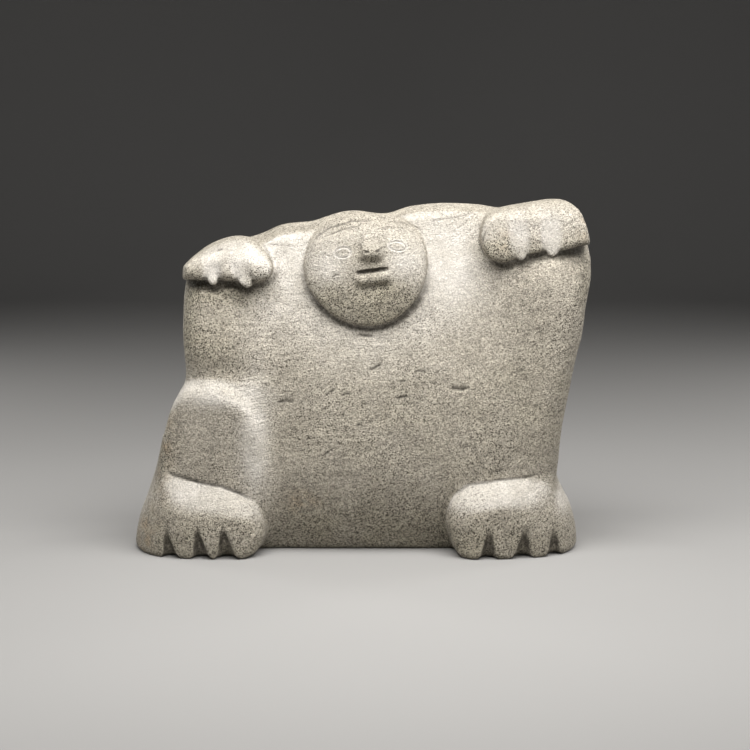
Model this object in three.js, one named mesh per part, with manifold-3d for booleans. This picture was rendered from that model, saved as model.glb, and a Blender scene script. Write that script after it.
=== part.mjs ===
// A seated figure carved from a single block of pale grey stone, about 250 mm wide.
// A broad slab of a body carries a round, tilted face near its top edge. Both arms are raised to the
// slab's upper corners, where three-knuckled paws hook over the front. Two four-toed feet splay out
// below, and a knee stands out above the left one. Left and right are the viewer's.
//
// Millimetres, X to the viewer's right, Y to the back, Z up. The stone rests on Z = 0 and the origin
// is under the middle of it.
import * as THREE from "three";
import { SimplifyModifier } from "three/addons/modifiers/SimplifyModifier.js";
import { mergeVertices } from "three/addons/utils/BufferGeometryUtils.js";
import Module from "manifold-3d";

// Driving dimensions

const DEPTH = 100;
const BACK = DEPTH / 2; // the fullest part of the back

// Side profile of the slab: at each height, the depth of its front and of its back along the middle.
const PROFILE = [
  { z: -12, front: -18, back: BACK - 11 },
  { z: 0, front: -24, back: BACK - 6 },
  { z: 12, front: -30, back: BACK - 2 },
  { z: 24, front: -34.4, back: BACK - 0.6 },
  { z: 40, front: -37.4, back: BACK },
  { z: 65, front: -37.5, back: BACK },
  { z: 95, front: -34.5, back: BACK - 3 },
  { z: 125, front: -27.5, back: BACK - 9 },
  { z: 150, front: -20, back: BACK - 16 },
  { z: 170, front: -13, back: BACK - 22 },
  { z: 195, front: -6, back: BACK - 29 },
];

// The slab's outline seen from the front, clockwise from the lower left, as [x, z].
const OUTLINE = [
  [-99, -14],
  [-103, 25],
  [-102, 65],
  [-99, 95],
  [-100.4, 122],
  [-99.8, 146],
  [-97.2, 156.4],
  [-86, 164],
  [-72, 169.5],
  [-58, 174],
  [-47, 179.3],
  [-30, 181.5],
  [-8, 183],
  [12, 187.2],
  [25, 191],
  [44, 192.6],
  [62, 191.5],
  [76, 189],
  [98, 187.5],
  [112, 183.5],
  [122.4, 171.6],
  [124, 161],
  [120.6, 137],
  [118.6, 120],
  [113.2, 98],
  [108.6, 72],
  [105.9, 50],
  [104, 30],
  [101, 8],
  [98, -14],
];

const SIDE_ROUNDING = 17; // how far the turn from the front face to the flanks reaches
const CREST_ROUNDING = 5; // the same for the sharper turn from the front face to the top
const TOP_SLOPE = 0.28; // the top falls towards the front by this much per millimetre of depth
const TOP_BACK = 18; // depth of the top's highest line
const FOOT_ROUNDING = 4; // softening of the edge that touches the ground
const MIDDLE = [-1.6, 0]; // the middle of the figure's length and depth, which becomes the origin

// Broad rises and hollows of the front face: centre [x, z], reach [x, z], and rise towards the viewer.
const FRONT_SWELLS = [
  { name: "left forearm", at: [-86, 122], reach: [20, 44], rise: 6 },
  { name: "right forearm", at: [106, 128], reach: [24, 50], rise: 8 },
  { name: "shelf under the right hand", at: [96, 162], reach: [30, 16], rise: 4.2 },
  { name: "right upper arm", at: [96, 146], reach: [30, 24], rise: 6 },
  { name: "rise under the left hand", at: [-78, 142], reach: [26, 18], rise: 1.5 },
  { name: "belly", at: [10, 58], reach: [62, 42], rise: 2.5 },
  { name: "dish round the chin", at: [2, 134], reach: [44, 24], rise: -1.5 },
  { name: "valley beside the left arm", at: [-52, 142], reach: [12, 36], rise: -2 },
  { name: "valley beside the right arm", at: [56, 148], reach: [14, 36], rise: -2 },
  { name: "hollow over the knee", at: [-84, 99], reach: [26, 9], rise: -3 },
  { name: "valley beside the knee", at: [-48, 56], reach: [12, 40], rise: -2 },
];

// The same for the back, where a rise stands out away from the viewer.
const BACK_SWELLS = [
  { name: "left shoulder", at: [-66, 136], reach: [34, 40], rise: 4 },
  { name: "right shoulder", at: [78, 146], reach: [34, 44], rise: 5 },
  { name: "hollow of the spine", at: [4, 118], reach: [22, 62], rise: -4 },
  { name: "left haunch", at: [-64, 34], reach: [40, 34], rise: 3 },
  { name: "right haunch", at: [66, 34], reach: [40, 34], rise: 3 },
];

// Masses raised from the slab. Each has an outline seen from the front, the depth of its face at a
// point [x, z], the face's slope across and up, how much it falls away towards its rim, and how far
// its edge rounding reaches at its foot and at its top. Strokes are the grooves between knuckles and
// the ridge of the nose: the half width of the flat and of the whole, the rise and the faded ends.
const HEAD = {
  outline: [
    [0.4, 124.6],
    [-10, 126.6],
    [-21.2, 133.2],
    [-30.2, 144],
    [-34, 157],
    [-31.2, 170.5],
    [-22, 179.8],
    [-8.6, 184],
    [5.6, 185.2],
    [17.2, 183.6],
    [26.8, 178.4],
    [32.4, 170],
    [33.8, 160.5],
    [32.2, 149.4],
    [26.8, 138.2],
    [18, 129.8],
    [9.4, 125.6],
  ],
  face: { at: [2, 150], depth: -33, across: 0, up: 0.1, fall: 7, reach: [34, 31] },
  edges: { foot: 2.6, top: 16, from: 144, to: 178 },
  back: 0,
  strokes: [
    { top: [2.4, 182], foot: [3.2, 166], half: [2.8, 6.6], rise: [1, 2.4], fade: [0.35, 0.3] },
    { top: [3, 172], foot: [3.2, 163], half: [3.6, 8], rise: [1.2, 2.8], fade: [0.5, 0.4] },
    { top: [4, 149.2], foot: [3.4, 142], half: [7, 12], rise: [-1.6, -0.6], fade: [0.3, 0.6] },
  ],
};
const CROWN = { at: [-7.4, 8, 162], half: [26.6, 24, 22.9] };

const KNEE = {
  outline: [
    [-110, 4],
    [-115, 30],
    [-114.6, 43],
    [-112.6, 57],
    [-109, 70],
    [-105, 82],
    [-98.4, 90],
    [-86, 92],
    [-73, 89],
    [-64, 81.6],
    [-59, 70],
    [-56.4, 56],
    [-55.4, 40],
    [-56, 20],
    [-61, 4],
  ],
  face: { at: [-80, 50], depth: -41, across: -0.1, up: -0.05, fall: 0, reach: [30, 40] },
  edges: { foot: 9, top: 8, from: 30, to: 70 },
  back: 24,
};

const LOW_HAND = {
  outline: [
    [-99.6, 149.4],
    [-100.2, 153.4],
    [-98.8, 157.4],
    [-92.6, 163],
    [-84.8, 167.8],
    [-74, 171.2],
    [-65, 171],
    [-57.5, 167.4],
    [-52.4, 161.5],
    [-50.6, 155.5],
    [-52.6, 150.8],
    [-57, 149],
    [-62, 148.4],
    [-67, 149],
    [-75, 149.6],
    [-82, 149.4],
    [-88.6, 149.4],
    [-94.6, 149.8],
  ],
  face: { at: [-74, 154], depth: -33.5, across: -0.04, up: 0.26, fall: 3, reach: [24, 16] },
  edges: { foot: 6.5, top: 20, from: 153, to: 168, sides: [0.85, 1.4] },
  back: 14,
  strokes: [
    { top: [-84, 166], foot: [-82.8, 149], half: [3, 6.6], rise: [-0.8, -2.6], fade: [0.8, 9] },
    { top: [-71.6, 166], foot: [-65, 149], half: [3.2, 6.8], rise: [-0.8, -2.6], fade: [0.8, 9] },
  ],
};
const HIGH_HAND = {
  outline: [
    [121.4, 168.6],
    [121.6, 173],
    [119.4, 180.4],
    [116.6, 186.8],
    [110.6, 191],
    [103, 192],
    [89.2, 190.4],
    [76, 188],
    [67, 184.4],
    [62.8, 177],
    [63, 168.4],
    [67.5, 161.6],
    [74, 159.6],
    [80, 160.4],
    [87, 163],
    [93, 164.6],
    [98, 165.4],
    [104, 165.2],
    [110, 166.6],
    [117, 168.4],
  ],
  face: { at: [91, 173], depth: -31, across: 0, up: 0.2, fall: 2.5, reach: [31, 18] },
  edges: { foot: 3.4, top: 14, from: 176, to: 190, sides: [0.8, 1.3] },
  back: 14,
  strokes: [
    { top: [81.4, 190], foot: [83.6, 164], half: [3.2, 7.2], rise: [-1, -2.6], fade: [0.7, 9] },
    { top: [99.4, 191], foot: [100.8, 165], half: [3.2, 7.2], rise: [-1, -2.6], fade: [0.7, 9] },
  ],
};

// The tongues of stone that come out of the grooves under each hand.
const LOW_TONGUES = [
  {
    outline: [
      [-86, 157],
      [-86.2, 152],
      [-84.9, 148.6],
      [-83.1, 147.3],
      [-81.2, 147.6],
      [-80.1, 149.4],
      [-80.4, 153],
      [-81.4, 157],
    ],
    face: { at: [-83, 150], depth: -31.9, across: 0, up: 0.25, fall: 0, reach: [10, 10] },
    edges: { foot: 1.6, top: 5, from: 150, to: 156 },
    back: 0,
  },
  {
    outline: [
      [-71.4, 157],
      [-69.8, 151.3],
      [-68, 148.2],
      [-65.8, 146.6],
      [-63.4, 145.8],
      [-61.8, 147.2],
      [-61.8, 149.5],
      [-63.2, 153],
      [-65, 157],
    ],
    face: { at: [-66, 150], depth: -32.1, across: 0, up: 0.25, fall: 0, reach: [10, 10] },
    edges: { foot: 1.6, top: 5, from: 150, to: 156 },
    back: 0,
  },
];
const HIGH_TONGUES = [
  {
    outline: [
      [79.6, 174.5],
      [80.4, 167.9],
      [81.4, 163],
      [83.4, 160.6],
      [85.4, 160.6],
      [87.2, 163],
      [87.8, 167.2],
      [87.6, 174.5],
    ],
    face: { at: [83.6, 165], depth: -29.8, across: 0, up: 0.2, fall: 0, reach: [10, 10] },
    edges: { foot: 1.6, top: 4, from: 164, to: 173 },
    back: 0,
  },
  {
    outline: [
      [96.8, 174.5],
      [97.3, 167.9],
      [98.2, 164],
      [99.9, 162.4],
      [101.8, 162.4],
      [103.9, 164],
      [104.7, 167.2],
      [104.2, 174.5],
    ],
    face: { at: [100.6, 165], depth: -29.6, across: 0, up: 0.2, fall: 0, reach: [10, 10] },
    edges: { foot: 1.6, top: 4, from: 164, to: 173 },
    back: 0,
  },
];

// Each foot has its outline seen from above, then along x the height of its knuckles and how steeply
// the instep climbs from there to the leg. The flare undercuts the inner toe.
const LEFT_FOOT = {
  plan: [
    [-54, -34],
    [-54.4, -42],
    [-59, -49],
    [-69, -53],
    [-83, -53],
    [-98.5, -51],
    [-112.5, -46],
    [-122.6, -35],
    [-128, -19],
    [-127.8, -5],
    [-122, 7],
    [-111, 14],
    [-96, 18],
    [-66, 16],
    [-50, 0],
    [-50, -20],
  ],
  instep: [
    { x: -140, z: 9, climb: 1.5 },
    { x: -128, z: 13.5, climb: 1.6 },
    { x: -122, z: 17, climb: 1.7 },
    { x: -115, z: 22, climb: 2.1 },
    { x: -110, z: 25, climb: 2.5 },
    { x: -105, z: 26, climb: 1.85 },
    { x: -98, z: 25.8, climb: 1.4 },
    { x: -91, z: 25.8, climb: 1.25 },
    { x: -79, z: 26, climb: 1.02 },
    { x: -69, z: 25.2, climb: 0.88 },
    { x: -62, z: 23.2, climb: 1.1 },
    { x: -54, z: 19, climb: 1.4 },
    { x: -40, z: 15, climb: 1.4 },
  ],
  flare: { through: [-54.6, -44, 9], facing: [0.78, -0.1, -0.62] },
  clefts: [
    { top: [-109, 17], foot: [-106, -2], wide: 4.8 },
    { top: [-91.5, 17.5], foot: [-89, -2], wide: 5.3 },
    { top: [-77.5, 18.5], foot: [-75.2, -2], wide: 6.2 },
  ],
};
const RIGHT_FOOT = {
  plan: [
    [41.5, -32],
    [42, -41],
    [47, -48.5],
    [57, -53],
    [68, -53],
    [82, -51],
    [95.6, -47],
    [106.2, -41],
    [113.4, -30.5],
    [117.4, -16],
    [116.2, -3],
    [111, 7],
    [100, 14],
    [60, 18],
    [36, 0],
    [38, -20],
  ],
  instep: [
    { x: 28, z: 15, climb: 1.6 },
    { x: 42, z: 20, climb: 1.8 },
    { x: 50, z: 24.5, climb: 1.2 },
    { x: 57, z: 27.6, climb: 0.84 },
    { x: 65, z: 30, climb: 0.7 },
    { x: 74, z: 31, climb: 0.74 },
    { x: 87, z: 28.4, climb: 1.28 },
    { x: 95, z: 25.6, climb: 1.95 },
    { x: 100, z: 23.6, climb: 2.2 },
    { x: 103.5, z: 21.8, climb: 1.75 },
    { x: 106, z: 20.6, climb: 1.6 },
    { x: 110, z: 19, climb: 1.6 },
    { x: 114, z: 17.4, climb: 1.7 },
    { x: 118, z: 15.6, climb: 1.7 },
    { x: 130, z: 10, climb: 1.7 },
  ],
  flare: { through: [42, -44, 19], facing: [-0.9, -0.1, -0.42] },
  clefts: [
    { top: [67, 17], foot: [66, -2], wide: 5 },
    { top: [86.6, 16.5], foot: [85, -2], wide: 5.7 },
    { top: [102.6, 16.5], foot: [103.2, -2], wide: 4.4 },
  ],
};
const INSTEP_ROUNDING = 6.5;
const INSTEP_TOP = 62; // the instep climbs no higher than this, inside the leg

// Distance fields: each is a function of a point, negative inside the stone

const { clamp, lerp, smoothstep } = THREE.MathUtils;

const smoothMin = (a, b, k) => {
  const h = Math.max(k - Math.abs(a - b), 0) / k;
  return Math.min(a, b) - (h * h * k) / 4;
};
const smoothMax = (a, b, k) => -smoothMin(-a, -b, k);

function ellipsoid([cx, cy, cz], [rx, ry, rz]) {
  return (x, y, z) => {
    const a = (x - cx) / rx;
    const b = (y - cy) / ry;
    const c = (z - cz) / rz;
    const near = Math.hypot(a, b, c);
    const steep = Math.hypot(a / rx, b / ry, c / rz);
    return steep > 0 ? (near * (near - 1)) / steep : -Math.min(rx, ry, rz);
  };
}

// A straight stroke whose radius changes from one end to the other. A squeeze under 1 makes its
// section deeper than it is wide.
function taper(from, to, fromRadius, toRadius, squeeze = 1) {
  const [ax, ay, az] = from;
  const dx = to[0] - ax;
  const dy = (to[1] - ay) * squeeze;
  const dz = to[2] - az;
  const span = dx * dx + dy * dy + dz * dz;
  return (x, y, z) => {
    const v = (y - ay) * squeeze;
    const t = clamp(((x - ax) * dx + v * dy + (z - az) * dz) / span, 0, 1);
    const gap = Math.hypot(x - ax - t * dx, v - t * dy, z - az - t * dz);
    return gap - lerp(fromRadius, toRadius, t);
  };
}

// Smooth curve through stations: the value of one named key at any place along another.
function along(stations, place, key) {
  const curve = new THREE.SplineCurve(stations.map((s) => new THREE.Vector2(s[place], s[key])));
  const samples = curve.getPoints(stations.length * 12);
  return (at) => {
    const found = samples.findIndex((s) => s.x > at);
    const i = Math.max(found < 0 ? samples.length - 1 : found, 1);
    const a = samples[i - 1];
    const b = samples[i];
    return a.y + ((b.y - a.y) * (at - a.x)) / (b.x - a.x);
  };
}

// Distance to a closed smooth outline in its own plane, negative inside.
function outlineDistance(points) {
  const curve = new THREE.CatmullRomCurve3(
    points.map(([u, v]) => new THREE.Vector3(u, v, 0)),
    true,
    "catmullrom",
  );
  const ring = curve.getPoints(points.length * 6);
  return (x, z) => {
    let best = Infinity;
    let inside = false;
    for (let i = 0; i < ring.length - 1; i++) {
      const a = ring[i];
      const b = ring[i + 1];
      const ex = b.x - a.x;
      const ez = b.y - a.y;
      const t = clamp(((x - a.x) * ex + (z - a.y) * ez) / (ex * ex + ez * ez), 0, 1);
      best = Math.min(best, Math.hypot(x - a.x - t * ex, z - a.y - t * ez));
      if (a.y > z !== b.y > z && x < a.x + ((z - a.y) / ez) * ex) inside = !inside;
    }
    return inside ? -best : best;
  };
}

// The same function of two coordinates, sampled once on a fine grid and read back between the samples.
const CHART = { first: -140, columns: 190, rows: 150, step: 1.5 };
function charted(flat, low = -16) {
  const { first, columns, rows, step } = CHART;
  const held = new Float32Array(columns * rows);
  for (let i = 0; i < columns; i++) {
    for (let j = 0; j < rows; j++) held[i * rows + j] = flat(first + i * step, low + j * step);
  }
  return (across, up) => {
    const u = clamp((across - first) / step, 0, columns - 1.001);
    const v = clamp((up - low) / step, 0, rows - 1.001);
    const i = Math.floor(u);
    const j = Math.floor(v);
    const at = i * rows + j;
    const near = lerp(held[at], held[at + rows], u - i);
    const far = lerp(held[at + 1], held[at + rows + 1], u - i);
    return lerp(near, far, v - j);
  };
}

// Rise of a straight flat-topped stroke towards the viewer, or its sinking in where negative.
function stroke({ top, foot: low, half, rise, fade }, x, z) {
  const down = (z - top[1]) / (low[1] - top[1]);
  const held = clamp(down, 0, 1);
  const across = 1 - smoothstep(Math.abs(x - lerp(top[0], low[0], held)), ...half);
  const ends = smoothstep(down, 0, fade[0]) * (1 - smoothstep(down, 1, 1 + fade[1]));
  return lerp(...rise, held) * across * ends;
}

function slab() {
  const front = along(PROFILE, "z", "front");
  const back = along(PROFILE, "z", "back");
  const rim = charted(outlineDistance(OUTLINE));
  const swollen = (swells, x, z) => {
    let rise = 0;
    for (const s of swells) {
      const u = (x - s.at[0]) / s.reach[0];
      const v = (z - s.at[1]) / s.reach[1];
      rise += s.rise * Math.exp(-u * u - v * v);
    }
    return rise;
  };
  const face = charted((x, z) => front(z) - swollen(FRONT_SWELLS, x, z));
  const rear = charted((x, z) => back(z) + swollen(BACK_SWELLS, x, z));
  const rounding = charted((x, z) => {
    const crest = smoothstep(z, 150, 172) * (1 - smoothstep(Math.abs(x - 5), 60, 85));
    return lerp(SIDE_ROUNDING, CREST_ROUNDING, crest);
  });
  return (x, y, z) => {
    const fall = smoothstep(z, 120, 160) * TOP_SLOPE * Math.max(TOP_BACK - y, 0);
    const edge = rim(x, z + fall);
    const fore = smoothMax(edge, face(x, z) - y, rounding(x, z));
    const whole = smoothMax(fore, y - rear(x, z), SIDE_ROUNDING + 5);
    return smoothMax(whole, -z - 0.6, FOOT_ROUNDING);
  };
}

function boss({ outline, face, edges, back, strokes = [] }) {
  const rim = charted(outlineDistance(outline));
  const front = charted((x, z) => {
    const u = x - face.at[0];
    const v = z - face.at[1];
    const round = (u / face.reach[0]) ** 2 + (v / face.reach[1]) ** 2;
    const bowl = face.depth + face.across * u + face.up * v + face.fall * Math.min(round, 1.6);
    return bowl - strokes.reduce((rise, s) => rise + stroke(s, x, z), 0);
  });
  return (x, y, z) => {
    const high = smoothstep(z, edges.from, edges.to);
    const side = edges.sides ? smoothstep(Math.abs(x - face.at[0]) / face.reach[0], ...edges.sides) : 0;
    const k = lerp(edges.foot, edges.top, Math.max(high, side));
    return smoothMax(smoothMax(rim(x, z), front(x, z) - y, k), y - back, 14);
  };
}

const plane = ({ through, facing }) => {
  const away = new THREE.Plane().setFromNormalAndCoplanarPoint(
    new THREE.Vector3(...facing).normalize(),
    new THREE.Vector3(...through),
  );
  return (x, y, z) => away.normal.x * x + away.normal.y * y + away.normal.z * z + away.constant;
};

function foot(spec) {
  const wall = charted(outlineDistance(spec.plan), -60);
  const knuckle = charted(along(spec.instep, "x", "z"));
  const climb = charted(along(spec.instep, "x", "climb"));
  const flare = plane(spec.flare);
  const frontAt = (x) => {
    let y = -60;
    while (wall(x, y) > 0) y += 0.25;
    return y;
  };
  const clefts = spec.clefts.map(({ top, foot: low, wide }) =>
    taper(
      [top[0], frontAt(top[0]) - 0.5, top[1]],
      [low[0], frontAt(low[0]) - 0.5, low[1]],
      0.3,
      wide,
      0.55,
    ),
  );
  return (x, y, z) => {
    const side = wall(x, y);
    const m = climb(x, 0);
    const over = (z - Math.min(knuckle(x, 0) - m * side, INSTEP_TOP)) / Math.hypot(1, m);
    let d = smoothMax(side, over, INSTEP_ROUNDING);
    d = smoothMax(d, flare(x, y, z), 6);
    for (const c of clefts) d = smoothMax(d, -c(x, y, z), 1.6);
    return smoothMax(d, -z - 0.3, FOOT_ROUNDING);
  };
}

// The mouth is a slit over a full lower lip.
const MOUTH = { from: [-3.6, -34.8, 153.9], to: [11.4, -34.6, 156], radius: 1.2, squeeze: 0.3 };
const LOWER_LIP = { from: [-1.8, -32.2, 149.6], to: [10.2, -32, 151.6], radius: 2.7, squeeze: 1 };

function face() {
  const disc = boss(HEAD);
  const bar = ({ from, to, radius, squeeze }) => taper(from, to, radius, radius, squeeze);
  const lip = bar(LOWER_LIP);
  const slit = bar(MOUTH);
  return (x, y, z) => smoothMax(smoothMin(disc(x, y, z), lip(x, y, z), 2), -slit(x, y, z), 0.8);
}

function figure() {
  const body = slab();
  const tongues = [...LOW_TONGUES, ...HIGH_TONGUES].map((tongue) => [boss(tongue), 1.2]);
  const forms = [
    [ellipsoid(CROWN.at, CROWN.half), 6],
    [face(), 1.8],
    [boss(KNEE), 6],
    [boss(LOW_HAND), 3],
    [boss(HIGH_HAND), 3],
    ...tongues,
    [foot(LEFT_FOOT), 2],
    [foot(RIGHT_FOOT), 2.5],
  ];
  return (x, y, z) => {
    let d = body(x, y, z);
    for (const [form, fillet] of forms) d = smoothMin(d, form(x, y, z), fillet);
    return d;
  };
}

// Skinning: one vertex in every grid cell that the surface crosses, one quad across every crossed edge

const GRID = { low: [-136, -62, -12], high: [134, 60, 202], step: 2.2, relaxing: 3 };
const VERTICES = 4700;

function skin(field) {
  const { low, high, step } = GRID;
  const count = low.map((l, i) => Math.ceil((high[i] - l) / step) + 1);
  const stride = [count[1] * count[2], count[2], 1];
  const held = new Float32Array(count[0] * count[1] * count[2]);
  const place = (i, j, k) => [low[0] + i * step, low[1] + j * step, low[2] + k * step];
  for (let i = 0, at = 0; i < count[0]; i++) {
    for (let j = 0; j < count[1]; j++) {
      for (let k = 0; k < count[2]; k++) held[at++] = field(...place(i, j, k));
    }
  }
  const corners = [0, 1, 2, 3, 4, 5, 6, 7];
  const offset = (c) => (c & 1) * stride[0] + ((c >> 1) & 1) * stride[1] + (c >> 2) * stride[2];
  const edges = corners.flatMap((a) => [1, 2, 4].filter((b) => !(a & b)).map((b) => [a, a | b]));
  const vertexOf = new Int32Array(held.length).fill(-1);
  const positions = [];
  const crossing = (at) => {
    const sum = [0, 0, 0];
    let met = 0;
    for (const [a, b] of edges) {
      const va = held[at + offset(a)];
      const vb = held[at + offset(b)];
      if (va < 0 === vb < 0) continue;
      const t = va / (va - vb);
      for (let axis = 0; axis < 3; axis++) {
        sum[axis] += lerp((a >> axis) & 1, (b >> axis) & 1, t);
      }
      met++;
    }
    return met ? sum.map((s) => s / met) : null;
  };
  for (let i = 0; i < count[0] - 1; i++) {
    for (let j = 0; j < count[1] - 1; j++) {
      for (let k = 0; k < count[2] - 1; k++) {
        const at = i * stride[0] + j * stride[1] + k;
        const inCell = crossing(at);
        if (!inCell) continue;
        vertexOf[at] = positions.length / 3;
        positions.push(...place(i + inCell[0], j + inCell[1], k + inCell[2]));
      }
    }
  }
  const faces = [];
  for (let i = 1; i < count[0] - 1; i++) {
    for (let j = 1; j < count[1] - 1; j++) {
      for (let k = 1; k < count[2] - 1; k++) {
        const at = i * stride[0] + j * stride[1] + k;
        const inside = held[at] < 0;
        for (let axis = 0; axis < 3; axis++) {
          if (inside === held[at + stride[axis]] < 0) continue;
          const u = stride[(axis + 1) % 3];
          const v = stride[(axis + 2) % 3];
          const quad = [at - u - v, at - v, at, at - u].map((cell) => vertexOf[cell]);
          if (!inside) quad.reverse();
          faces.push(quad[0], quad[1], quad[2], quad[0], quad[2], quad[3]);
        }
      }
    }
  }
  for (let turn = 0; turn < GRID.relaxing; turn++) relax(field, positions, faces, step / 2);
  const geometry = new THREE.BufferGeometry();
  geometry.setAttribute("position", new THREE.Float32BufferAttribute(positions, 3));
  geometry.setIndex(faces);
  return geometry;
}

// Evens out the mesh: each vertex goes halfway to the middle of its neighbours, then to the surface.
function relax(field, positions, faces, reach) {
  const sum = new Float64Array(positions.length);
  const met = new Uint16Array(positions.length / 3);
  for (let i = 0; i < faces.length; i++) {
    const from = faces[i];
    const to = faces[i % 3 === 2 ? i - 2 : i + 1];
    for (let axis = 0; axis < 3; axis++) {
      sum[from * 3 + axis] += positions[to * 3 + axis];
      sum[to * 3 + axis] += positions[from * 3 + axis];
    }
    met[from]++;
    met[to]++;
  }
  for (let v = 0; v < met.length; v++) {
    const at = [0, 1, 2].map((axis) => lerp(positions[v * 3 + axis], sum[v * 3 + axis] / met[v], 0.5));
    settle(field, at, reach).forEach((c, axis) => (positions[v * 3 + axis] = c));
  }
}

// Moves a point onto the surface, by no more than a given reach a turn.
function settle(field, point, reach) {
  const p = [...point];
  const h = 0.05;
  for (let turn = 0; turn < 3; turn++) {
    const d = field(...p);
    const slope = [0, 1, 2].map((axis) => {
      const q = [...p];
      q[axis] += h;
      return (field(...q) - d) / h;
    });
    const steep = Math.hypot(...slope);
    if (steep < 0.05) break;
    const move = clamp(d / steep, -reach, reach) / steep;
    for (let axis = 0; axis < 3; axis++) p[axis] -= slope[axis] * move;
  }
  return p;
}

const wasm = await Module();
wasm.setup();

function toSolid(geometry) {
  return new wasm.Manifold(
    new wasm.Mesh({
      numProp: 3,
      vertProperties: new Float32Array(geometry.attributes.position.array),
      triVerts: new Uint32Array(geometry.index.array),
    }),
  );
}
function toGeometry(solid) {
  const { numProp, vertProperties, triVerts } = solid.getMesh();
  const positions = new Float32Array((vertProperties.length / numProp) * 3);
  for (let i = 0; i < positions.length / 3; i++) {
    positions.set(vertProperties.subarray(i * numProp, i * numProp + 3), i * 3);
  }
  const geometry = new THREE.BufferGeometry();
  geometry.setAttribute("position", new THREE.BufferAttribute(positions, 3));
  geometry.setIndex(new THREE.BufferAttribute(new Uint32Array(triVerts), 1));
  return geometry;
}

const fine = skin(figure());
const spare = fine.attributes.position.count - VERTICES;
const carved = await new SimplifyModifier().modify(fine, spare);
const block = new THREE.BoxGeometry(400, 400, 40).translate(0, 0, -20);
const ground = mergeVertices(block.deleteAttribute("uv").deleteAttribute("normal"));
const resting = toGeometry(toSolid(carved).subtract(toSolid(ground)));
resting.translate(-MIDDLE[0], -MIDDLE[1], 0);
resting.computeVertexNormals();

const stone = new THREE.MeshStandardMaterial({ name: "pale_stone", color: 0xa9a294, roughness: 0.9 });
const carving = new THREE.Mesh(resting, stone);
carving.name = "stone_figure";

const group = new THREE.Group();
group.name = "seated_stone_figure";
group.add(carving);

export default group;
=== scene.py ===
"""A seated figure carved from one block of pale grey stone, dressed and lit on a studio floor.

The stone's surface is a distance field: a broad slab of a body, a round tilted face, two raised
paws, a knee and two four-toed feet, blended into each other as a file leaves them. The solid's own
skin is laid onto that field at a finer mesh, the cut lines are sunk into it, and the mesh carries
the masks that its finish needs; several of them paint shade into the creases, the cuts, the lower
body and under the paws, and highlights onto upward faces. Sizes are millimetres, X to the viewer's
right, Y to the back and Z up. The finished pieces are in metres. Left and right are the viewer's.
"""

import json
import logging
import math
from collections.abc import Callable, Iterator, Sequence
from dataclasses import dataclass, field
from enum import Enum

import bmesh
import bpy
import numpy as np
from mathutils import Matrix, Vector, noise


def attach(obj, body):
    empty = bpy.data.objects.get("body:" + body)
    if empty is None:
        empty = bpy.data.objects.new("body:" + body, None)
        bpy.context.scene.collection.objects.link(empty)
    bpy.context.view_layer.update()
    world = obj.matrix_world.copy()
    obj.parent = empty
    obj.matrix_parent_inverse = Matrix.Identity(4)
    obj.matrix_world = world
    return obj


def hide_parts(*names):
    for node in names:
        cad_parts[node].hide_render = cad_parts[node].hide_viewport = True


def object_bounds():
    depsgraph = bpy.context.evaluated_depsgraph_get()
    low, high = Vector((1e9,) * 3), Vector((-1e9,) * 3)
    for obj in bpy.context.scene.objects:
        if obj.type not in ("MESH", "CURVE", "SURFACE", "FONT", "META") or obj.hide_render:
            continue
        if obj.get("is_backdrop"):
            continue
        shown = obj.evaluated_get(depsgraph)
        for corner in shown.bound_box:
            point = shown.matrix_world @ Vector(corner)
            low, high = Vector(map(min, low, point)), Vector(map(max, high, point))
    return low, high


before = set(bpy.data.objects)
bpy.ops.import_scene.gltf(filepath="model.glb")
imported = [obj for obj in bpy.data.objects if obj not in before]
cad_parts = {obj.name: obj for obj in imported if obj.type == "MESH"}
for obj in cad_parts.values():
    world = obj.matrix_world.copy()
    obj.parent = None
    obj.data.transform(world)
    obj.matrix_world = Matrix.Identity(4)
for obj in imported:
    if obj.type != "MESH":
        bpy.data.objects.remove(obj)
solid_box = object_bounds()

log = logging.getLogger("carving")

Array = np.ndarray
Flat = Callable[[Array, Array], Array]
Pair = tuple[float, float]
Triple = tuple[float, float, float]
Colour = tuple[float, float, float, float]
Socket = bpy.types.NodeSocket

MILLIMETRE = 0.001
TONE_GROUP = "tone"

# Where the frame's origin lies in the figure's own millimetres
MIDDLE = np.array([-1.6, 0.0, 0.0])

# What the charts of outlines and faces cover, across and from their lower edge up
CHARTED_ACROSS = (-140.0, 145.0)
CHARTED_UP = 225.0


# Arithmetic of the field


def smooth_min(a: Array, b: Array, k: Array | float) -> Array:
    """Joins two solids with a fillet.

    Args:
        a: Distances to the first solid.
        b: Distances to the second solid.
        k: Reach of the fillet.

    Returns:
        Distances to the joined solid.
    """
    h = np.maximum(k - np.abs(a - b), 0.0) / k
    return np.minimum(a, b) - h * h * k / 4


def smooth_max(a: Array, b: Array, k: Array | float) -> Array:
    """Keeps what two solids share, with a rounded edge. Arguments as in smooth_min."""
    return -smooth_min(-a, -b, k)


def smoothstep(x: Array | float, low: float, high: float) -> Array | float:
    """Goes from 0 at low to 1 at high with level ends."""
    t = np.clip((x - low) / (high - low), 0.0, 1.0)
    return t * t * (3 - 2 * t)


def lerp(a: Array | float, b: Array | float, t: Array | float) -> Array | float:
    """Goes from a to b as t goes from 0 to 1."""
    return a + (b - a) * t


def catmull_rom(p: Sequence[Array], t: Array) -> Array:
    """Points of one span of a smooth curve.

    Args:
        p: The span's two ends with the point before and the point after them.
        t: Places along the span, from 0 to 1, as a column.

    Returns:
        One row for each place.
    """
    lead, trail = (p[2] - p[0]) / 2, (p[3] - p[1]) / 2
    cubic = 2 * p[1] - 2 * p[2] + lead + trail
    square = -3 * p[1] + 3 * p[2] - 2 * lead - trail
    return ((cubic * t + square) * t + lead) * t + p[1]


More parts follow.
